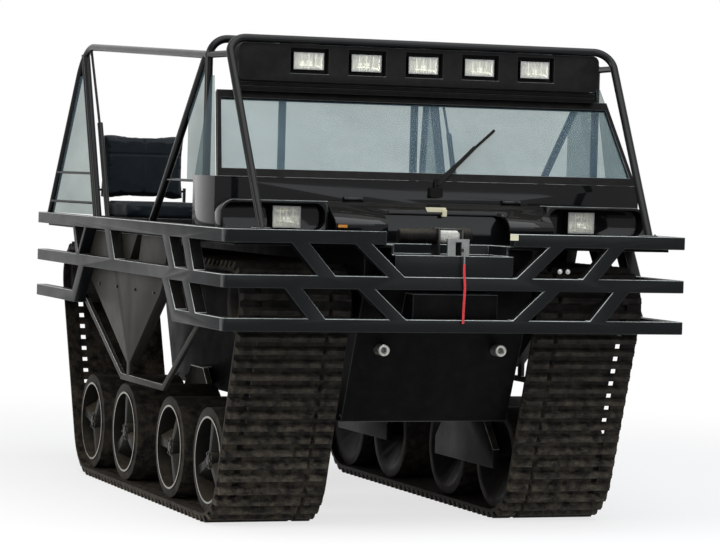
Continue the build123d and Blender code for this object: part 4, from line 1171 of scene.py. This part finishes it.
class CARRIER_OT_finishes(bpy.types.Operator):
    """Finishes of the nodes that keep their own mesh"""
    bl_idname = "carrier.finishes"
    bl_label = "Finishes"

    def execute(self, context):
        table = [
            (("cage_main", "cage_front", "cage_side_right", "cage_side_left"), cage_paint()),
            (("windscreen_glass",), pane("screen_pane", srgb(206, 210, 207), 0.12)),
            (("quarter_glass", "side_glass"), pane("side_pane", srgb(206, 210, 207), 0.08)),
            (("tow_eyes",), bright_steel()),
            (("winch_hook",), metal("bracket_metal", srgb(120, 122, 122), 0.4, 0.5)),
            (("steering_wheel", "steering_column", "wiper"), soft_black()),
        ]
        for names, material in table:
            for name in names:
                nodes[name].data.materials.clear()
                nodes[name].data.materials.append(material)
        return {"FINISHED"}


# Header over the windscreen

class CARRIER_OT_header(bpy.types.Operator):
    """Ribbed strip that closes the gap between windscreen frame and lamp bar"""
    bl_idname = "carrier.header"
    bl_label = "Header"

    def execute(self, context):
        bar_low, bar_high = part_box("lamp_bar")
        _, screen_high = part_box("windscreen_frame")
        front, back = bar_low.y + 0.045, bar_low.y + 0.085
        foot, top = screen_high.z - 0.004, bar_low.z
        rib_depth, rib_height = 0.004, 0.009
        bm = bmesh.new()
        add_box(bm, (bar_low.x, front, foot), (bar_high.x, back, top))
        for share in (0.3, 0.65):
            z = foot + (top - foot) * share
            add_box(bm, (bar_low.x, front - rib_depth, z), (bar_high.x, front, z + rib_height))
        strip = bm_object("screen_header", bm, soft_black(), body_worn_highlit_edge_coat())
        bevel(strip, 0.0015, 1)
        smooth_mesh(strip.data, 30)
        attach(strip, "frame")
        return {"FINISHED"}


# Bolts and other small hardware

class CARRIER_OT_hardware(bpy.types.Operator):
    """Bolt rows on hull, decks and guards, feet of the cage and collars of the tow eyes"""
    bl_idname = "carrier.hardware"
    bl_label = "Hardware"

    def execute(self, context):
        make_bolts()
        make_cage_feet()
        make_tow_rings()
        return {"FINISHED"}


def spaced(start, end, step):
    """Evenly spaced values from start to end, at about a step."""
    count = max(1, round(abs(end - start) / step))
    return [start + (end - start) * index / count for index in range(count + 1)]


def make_bolts():
    deck_low, deck_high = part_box("deck_right")
    hull_low, hull_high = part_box("hull")
    margin = 0.03
    points = []
    for sign in (-1, 1):
        for x in (deck_high.x - margin, deck_low.x + margin):
            for y in spaced(deck_low.y + margin, deck_high.y - margin, 0.24):
                points.append(((sign * -x, y, deck_high.z), UPWARD))
        for y in spaced(hull_low.y + 0.36, hull_high.y - 0.26, 0.16):
            points.append(((sign * hull_high.x, y, hull_low.z + margin), outward(sign)))
    for x in spaced(hull_low.x + 0.05, hull_high.x - 0.05, 0.12):
        points.append(((x, hull_high.y, hull_high.z - 0.05), BACKWARD))
        points.append(((x, hull_high.y, hull_high.z - 0.4), BACKWARD))
    bolts = repeat("panel_bolts", points, hex_bolt(0.0055, 0.005), dark_steel())
    rail_low, rail_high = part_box("guard_right")
    plate_points = []
    for side, sign in SIDES:
        low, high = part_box("vee_" + side)
        face = low.x if sign < 0 else high.x
        for y in spaced(low.y + 0.75, high.y - 0.33, 0.3):
            plate_points.append(((face, y, rail_high.z - 0.35), outward(sign)))
    nuts = repeat("plate_bolts", plate_points, hex_bolt(0.008, 0.007), dark_steel())
    clips = [((x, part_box("guard_front")[0].y + 0.012, 1.235), FORWARD) for x in (0.50, 0.54)]
    bright = repeat("guard_clips", clips, hex_bolt(0.008, 0.008), bright_steel())


def make_cage_feet():
    """Square foot plates under the cage tubes, each with four bolts."""
    deck_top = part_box("deck_right")[1].z
    rail_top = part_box("guard_right")[1].z
    hoop_low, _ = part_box("cage_main")
    front_low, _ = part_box("cage_front")
    tube = 0.019
    feet = []
    main_x = 1.0
    feet.append((main_x, hoop_low.y + tube, deck_top))
    feet.append((0.960, front_low.y + tube + 0.01, rail_top))
    bm = bmesh.new()
    points = []
    half = 0.038
    thick = 0.006
    for x, y, z in feet:
        for sign in (-1, 1):
            reach = min(half, 1.078 - x) if z == deck_top else half
            add_box(bm, (sign * x - reach, y - half * 0.74, z), (sign * x + reach, y + half * 0.74, z + thick))
            for dx in (-0.028, 0.028):
                for dy in (-0.02, 0.02):
                    points.append(((sign * x + dx, y + dy, z + thick), UPWARD))
    plates = bm_object("cage_feet", bm, cage_paint(), worn_highlit_edge_coat())
    bevel(plates, 0.0015, 1)
    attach(plates, "frame")
    bolts = repeat("cage_feet_bolts", points, hex_bolt(0.005, 0.005), dark_steel())


def make_tow_rings():
    """Bright collar round the mouth of each tow eye."""
    low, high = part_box("tow_eyes")
    bm = bmesh.new()
    for sign in (-1, 1):
        x = sign * 0.293
        z = (low.z + high.z) / 2
        ring = [(0.0, 0.0275), (0.005, 0.0275), (0.007, 0.025), (0.007, 0.017), (0.004, 0.014), (0.0, 0.014)]
        rings = []
        steps = 32
        for along, radius in ring:
            rings.append([bm.verts.new((x + radius * math.cos(2 * math.pi * step / steps), low.y - along,
                                        z + radius * math.sin(2 * math.pi * step / steps)))
                          for step in range(steps)])
        for near, far in zip(rings, rings[1:] + rings[:1]):
            for step in range(steps):
                following = (step + 1) % steps
                bm.faces.new((near[step], far[step], far[following], near[following]))
    rings = bm_object("tow_eye_collars", recalculated(bm), bright_steel(), smooth=40)
    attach(rings, "frame")


# Lamps

def add_lamp(bm, low, high, ribs):
    """Open case, hollow reflector, three thin upright bars and a ribbed cover between two corners, facing forward."""
    (x0, y0, z0), (x1, y1, z1) = low, high
    wall = 0.006
    add_box(bm, (x0, y0 + 0.012, z0), (x0 + wall, y1, z1), 0)
    add_box(bm, (x1 - wall, y0 + 0.012, z0), (x1, y1, z1), 0)
    add_box(bm, (x0 + wall, y0 + 0.012, z0), (x1 - wall, y1, z0 + wall), 0)
    add_box(bm, (x0 + wall, y0 + 0.012, z1 - wall), (x1 - wall, y1, z1), 0)
    columns, rows = 24, 10
    middle_x, middle_z = (x0 + x1) / 2, (z0 + z1) / 2
    half_x, half_z = (x1 - x0) / 2 - wall, (z1 - z0) / 2 - wall
    depth = (y1 - y0) - 0.02
    grid = []
    for row in range(rows + 1):
        line = []
        for column in range(columns + 1):
            u = column / columns * 2 - 1
            v = row / rows * 2 - 1
            bowl = (1 - u * u) * (1 - v * v)
            facet = 0.0025 * abs(math.sin(u * math.pi * 2))
            line.append(bm.verts.new((middle_x + u * half_x, y0 + 0.013 + depth * math.sqrt(bowl) * 0.9 - facet * bowl,
                                      middle_z + v * half_z)))
        grid.append(line)
    for near, far in zip(grid, grid[1:]):
        for column in range(columns):
            face = bm.faces.new((near[column], near[column + 1], far[column + 1], far[column]))
            face.material_index = 1
            face.smooth = True
    cover_columns = ribs * 4
    cover = []
    for row in range(2):
        line = []
        for column in range(cover_columns + 1):
            u = column / cover_columns
            flute = 0.0016 * abs(math.sin(u * ribs * math.pi))
            line.append(bm.verts.new((x0 + (x1 - x0) * u, y0 + 0.009 - flute, z0 if row == 0 else z1)))
        cover.append(line)
    for column in range(cover_columns):
        face = bm.faces.new((cover[0][column], cover[0][column + 1], cover[1][column + 1], cover[1][column]))
        face.material_index = 2
        face.smooth = True
    back = [bm.verts.new((x, y1 - 0.001, z)) for x, z in ((x0, z0), (x0, z1), (x1, z1), (x1, z0))]
    bm.faces.new(back).material_index = 0
    for share in (-0.5, 0.0, 0.5):
        x = middle_x + share * half_x
        add_box(bm, (x - 0.0018, y0 + 0.010, z0 + wall), (x + 0.0018, y0 + 0.016, z1 - wall), 1)


class CARRIER_OT_lamps(bpy.types.Operator):
    """Five roof lamps, two headlamps and the amber marker"""
    bl_idname = "carrier.lamps"
    bl_label = "Lamps"

    def execute(self, context):
        case = soft_black()
        reflector = metal("reflector_metal", srgb(228, 222, 206), 0.16, 0.25)
        cover = lens("clear_cover", srgb(236, 238, 234), 0.62)
        for node, piece_name, count in (("roof_lamps", "roof_lamp_units", 5), ("front_lamps", "headlamp_units", 2)):
            bm = bmesh.new()
            for low, high in lamp_boxes(node, count):
                add_lamp(bm, low, high, 12 if count == 5 else 10)
            piece = bm_object(piece_name, bm, case, reflector, cover)
            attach(piece, "frame")
            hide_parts(node)
        make_marker()
        return {"FINISHED"}


def lamp_boxes(node, count):
    """Corner pairs of the like boxes in a node, spread along X."""
    low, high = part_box(node)
    starts = sorted({round(vertex.co.x, 4) for vertex in nodes[node].data.vertices})
    pairs = list(zip(starts[::2], starts[1::2]))
    return [((x0, low.y, low.z), (x1, high.y, high.z)) for x0, x1 in pairs[:count]]


def make_marker():
    """Amber marker: a ribbed cover on a dark base."""
    low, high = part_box("marker_lamp")
    bm = bmesh.new()
    add_box(bm, (low.x, low.y + 0.004, low.z), tuple(high), 0)
    ribs = 9
    step = (high.x - low.x - 0.006) / ribs
    for index in range(ribs):
        x = low.x + 0.003 + index * step
        add_box(bm, (x, low.y, low.z + 0.002), (x + step * 0.82, low.y + 0.005, high.z - 0.002), 1)
    piece = bm_object("marker_cover", bm, soft_black(), lens("amber_cover", srgb(232, 150, 40), 0.15))
    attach(piece, "hood")
    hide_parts("marker_lamp")


# Winch

class CARRIER_OT_winch(bpy.types.Operator):
    """Winch with its wound rope, hood latch and tab"""
    bl_idname = "carrier.winch"
    bl_label = "Winch"

    def execute(self, context):
        make_winch()
        make_latch()
        return {"FINISHED"}


def make_winch():
    low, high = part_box("winch")
    y = (low.y + high.y) / 2
    axis_z = high.z - 0.044
    bm = bmesh.new()
    ribs = [(0.0, 0.020), (0.004, 0.031), (0.012, 0.035)]
    x = 0.018
    while x < 0.150:
        ribs.extend([(x, 0.035), (x + 0.002, 0.0335), (x + 0.006, 0.0335), (x + 0.008, 0.035)])
        x += 0.014
    ribs.extend([(0.160, 0.0355), (0.186, 0.0355)])
    add_lathe(bm, ribs, (low.x + 0.001, y, axis_z), (1, 0, 0), 36, 0)
    gear_end = high.x - 0.001
    add_lathe(bm, [(0.0, 0.030), (0.003, 0.042), (0.010, 0.0435), (0.030, 0.0435), (0.034, 0.040), (0.044, 0.040),
                   (0.050, 0.034), (0.055, 0.016)], (gear_end - 0.055, y, axis_z), (1, 0, 0), 36, 0)
    tray_floor = low.z
    for x0 in (-0.075, 0.040):
        add_box(bm, (x0, y - 0.045, tray_floor), (x0 + 0.010, y + 0.045, axis_z + 0.038), 1)
    for offset in (-0.039, 0.039):
        add_lathe(bm, [(0.0, 0.0055), (0.105, 0.0055)], (-0.065, y + offset, axis_z + 0.035), (1, 0, 0), 16, 1)
    body = bm_object("winch_body", recalculated(bm), gear_paint(), metal("winch_plate", srgb(60, 61, 61), 0.4, 0.5))
    bevel(body, 0.0012, 0)
    smooth_mesh(body.data, 30)
    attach(body, "frame")
    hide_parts("winch")
    make_wound_rope(y, axis_z)


def make_wound_rope(y, axis_z):
    """Rope turns on the drum, in one layer of touching rings."""
    rope = 0.0040
    drum = 0.022
    steps = 28
    sides = 6
    turns = 12
    bm = bmesh.new()
    rings = []
    total = steps * turns
    for index in range(total + 1):
        angle = 2 * math.pi * index / steps
        x = -0.060 + 0.094 * index / total
        centre = Vector((x, y + (drum + rope) * math.cos(angle), axis_z + (drum + rope) * math.sin(angle)))
        out = Vector((0, math.cos(angle), math.sin(angle)))
        ring = []
        for side in range(sides):
            turn = 2 * math.pi * side / sides
            ring.append(bm.verts.new(centre + out * rope * math.cos(turn) + Vector((rope * math.sin(turn), 0, 0))))
        rings.append(ring)
    for near, far in zip(rings, rings[1:]):
        for side in range(sides):
            following = (side + 1) % sides
            bm.faces.new((near[side], near[following], far[following], far[side]))
    for ring in (rings[0], rings[-1]):
        bm.faces.new(ring)
    add_lathe(bm, [(0.0, drum), (0.105, drum)], (-0.065, y, axis_z), (1, 0, 0), 24)
    rope_piece = bm_object("winch_rope", recalculated(bm), webbing("rope_weave", srgb(214, 212, 204), 260.0), smooth=60)
    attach(rope_piece, "frame")


def make_latch():
    """Pale catch on the lid and a pale tab on the front guard's top rail."""
    low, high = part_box("hood")
    y = low.y
    bm = bmesh.new()
    pale = paint("catch_paint", srgb(196, 190, 164), 0.3, 0.3, 0.2)
    add_box(bm, (-0.064, y + 0.088, high.z - 0.062), (0.032, y + 0.112, high.z - 0.040), 0)
    add_box(bm, (0.012, y + 0.078, high.z - 0.082), (0.032, y + 0.104, high.z - 0.050), 0)
    latch = bm_object("lid_catch", bm, pale)
    bevel(latch, 0.002, 0)
    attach(latch, "hood")
    rail_low, rail_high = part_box("guard_front")
    tab_bm = bmesh.new()

    add_box(tab_bm, (0.241, rail_low.y - 0.002, rail_high.z - 0.030), (0.281, rail_low.y + 0.004, rail_high.z - 0.002), 0)
    tab = bm_object("rail_tab", tab_bm, pale)
    bevel(tab, 0.001, 0)
    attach(tab, "frame")


# Seats

PADS = [
    # node, body
    ("seat_cushion_right", "frame"), ("seat_back_right", "frame"), ("rear_cushion_right", "frame"),
    ("rear_back_right", "rear_back_right"), ("head_pads", "frame"),
]


class CARRIER_OT_seats(bpy.types.Operator):
    """Seat cushions, backs and head pads, swollen as cloth and sewn"""
    bl_idname = "carrier.seats"
    bl_label = "Seats"

    def execute(self, context):
        settings = context.scene.carrier_seats
        cover = vinyl("seat_vinyl", colour_of("seat"), 1100.0)
        pads = [start_pad(node, settings, cover) for node, _ in PADS]
        swell(pads, settings)
        for pad, (node, body) in zip(pads, PADS):
            sew(pad)
            finish_pad(pad, node, body)
        for node, body, source in (("seat_cushion_left", "frame", 0), ("seat_back_left", "frame", 1),
                                   ("rear_cushion_left", "frame", 2)):
            finish_pad(mirror_pad(pads[source], node, cover), node, body)
        finish_pad(folded_pad(pads[3], cover), "rear_back_left", "rear_back_left")
        return {"FINISHED"}


def start_pad(node, settings, cover):
    """Smaller remeshed copy of a CAD pad, ready for the cloth."""
    bm = bmesh.new()
    bm.from_mesh(nodes[node].data)
    bmesh.ops.remove_doubles(bm, verts=bm.verts, dist=1e-5)
    if node == "rear_back_right":
        low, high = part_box(node)
        bm.free()
        bm = bmesh.new()
        add_box(bm, tuple(low), tuple(high))
    shrink = settings.shrink
    for island in islands(bm):
        low = Vector(min(vert.co[axis] for vert in island) for axis in range(3))
        high = Vector(max(vert.co[axis] for vert in island) for axis in range(3))
        middle = (low + high) / 2
        for vert in island:
            for axis in range(3):
                half = (high[axis] - low[axis]) / 2
                vert.co[axis] = middle[axis] + (vert.co[axis] - middle[axis]) * (half - shrink) / half
    piece = bm_object(node + "_pad", bm)
    remesh = piece.modifiers.new("voxels", "REMESH")
    remesh.mode = "VOXEL"
    remesh.voxel_size = settings.voxel
    settle(piece)
    piece.data.materials.clear()
    piece.data.materials.append(cover)
    return piece


def islands(bm):
    """Groups of connected vertices."""
    left = set(bm.verts)
    groups = []
    while left:
        stack = [left.pop()]
        group = []
        while stack:
            vert = stack.pop()
            group.append(vert)
            for edge in vert.link_edges:
                other = edge.other_vert(vert)
                if other in left:
                    left.remove(other)
                    stack.append(other)
        groups.append(group)
    return groups


def swell(pads, settings):
    """Runs the cloth on all pads at once and keeps each point within its cap."""
    starts = []
    for pad in pads:
        starts.append([vertex.co.copy() for vertex in pad.data.vertices])
        cloth = pad.modifiers.new("cloth", "CLOTH")
        cloth.settings.use_pressure = True
        cloth.settings.uniform_pressure_force = settings.pressure
        cloth.settings.effector_weights.gravity = 0.0
        cloth.settings.quality = 4
        cloth.point_cache.frame_start = 1
        cloth.point_cache.frame_end = settings.frames
    for step in range(1, settings.frames + 1):
        bpy.context.scene.frame_set(step)
    for pad in pads:
        settle(pad)
    bpy.context.scene.frame_set(1)
    for pad, start in zip(pads, starts):
        for vertex, origin in zip(pad.data.vertices, start):
            move = vertex.co - origin
            if move.length > settings.swell:
                vertex.co = origin + move * (settings.swell / move.length)
        pad.data.update()


def sew(pad):
    """Presses the sewn channels into a pad and rounds its mesh."""
    low = Vector(min(vertex.co[axis] for vertex in pad.data.vertices) for axis in range(3))
    high = Vector(max(vertex.co[axis] for vertex in pad.data.vertices) for axis in range(3))
    size = high - low
    middle = (low + high) / 2
    is_back = size.y < size.z
    groove = 0.007
    depth = 0.006
    across = [middle.x] if is_back else [middle.x - size.x * 0.17, middle.x + size.x * 0.17]
    cross = high.z - size.z * 0.3 if is_back else low.y + size.y * 0.72
    normals = [vertex.normal.copy() for vertex in pad.data.vertices]
    if size.z > 0.06:
        for vertex, normal in zip(pad.data.vertices, normals):
            facing = -normal.y if is_back else normal.z
            if facing < 0.3:
                continue
            pull = sum(math.exp(-((vertex.co.x - line) / groove) ** 2) for line in across)
            place = vertex.co.z if is_back else vertex.co.y
            pull = max(pull, math.exp(-((place - cross) / groove) ** 2))
            vertex.co -= normal * depth * min(1.0, pull)
    pad.data.update()
    smooth_mesh(pad.data, 60)


def finish_pad(pad, node, body):
    low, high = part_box(node)
    play = Vector((0.004, 0.004, 0.004))
    for vertex in pad.data.vertices:
        for axis in range(3):
            vertex.co[axis] = min(max(vertex.co[axis], low[axis] - play[axis]), high[axis] + play[axis])
    pad.data.update()
    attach(pad, body)
    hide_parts(node)


def moved_copy(pad, name, matrix, cover):
    mesh = pad.data.copy()
    mesh.transform(matrix)
    if matrix.determinant() < 0:
        mesh.flip_normals()
    mesh.materials.clear()
    copy = new_object(name, mesh, cover)
    return copy


def mirror_pad(pad, node, cover):
    return moved_copy(pad, node + "_pad", Matrix.Scale(-1, 4, (1, 0, 0)), cover)


def folded_pad(pad, cover):
    """The left rear back: the right one mirrored and laid forward about its hinge."""
    joint = next(item for item in frame["joints"] if item["name"] == "rear_back_left_fold")
    pivot = Matrix.Translation(joint["pos_m"])
    fold = pivot @ Matrix.Rotation(math.pi / 2, 4, "X") @ pivot.inverted()
    return moved_copy(pad, "rear_back_left_pad", fold @ Matrix.Scale(-1, 4, (1, 0, 0)), cover)


class CARRIER_PT_panel(bpy.types.Panel):
    """Lists the steps in the sidebar"""
    bl_idname = "CARRIER_PT_panel"
    bl_label = "Carrier"
    bl_space_type = "VIEW_3D"
    bl_region_type = "UI"
    bl_category = "Carrier"

    def draw(self, context):
        for step in STEPS:
            self.layout.operator(step.bl_idname)


STEPS = [
    CARRIER_OT_stage, CARRIER_OT_strap, CARRIER_OT_finishes, CARRIER_OT_panels, CARRIER_OT_header,
    CARRIER_OT_tracks, CARRIER_OT_wheels, CARRIER_OT_hardware, CARRIER_OT_lamps, CARRIER_OT_winch,
    CARRIER_OT_seats,
]
GROUPS = [
    ("carrier_stage", CarrierStage), ("carrier_paint", CarrierPaint), ("carrier_track", CarrierTrack),
    ("carrier_seats", CarrierSeats),
]
CLASSES = [group for _, group in GROUPS] + STEPS + [CARRIER_PT_panel]


def register():
    for item in CLASSES:
        bpy.utils.register_class(item)
    for name, group in GROUPS:
        setattr(bpy.types.Scene, name, PointerProperty(type=group))


def unregister():
    for name, _ in GROUPS:
        delattr(bpy.types.Scene, name)
    for item in reversed(CLASSES):
        bpy.utils.unregister_class(item)


def main():
    register()
    bpy.context.scene.view_settings.view_transform = "Standard"
    for step in STEPS:
        family, name = step.bl_idname.split(".")
        getattr(getattr(bpy.ops, family), name)()


if __name__ == "__main__":
    main()
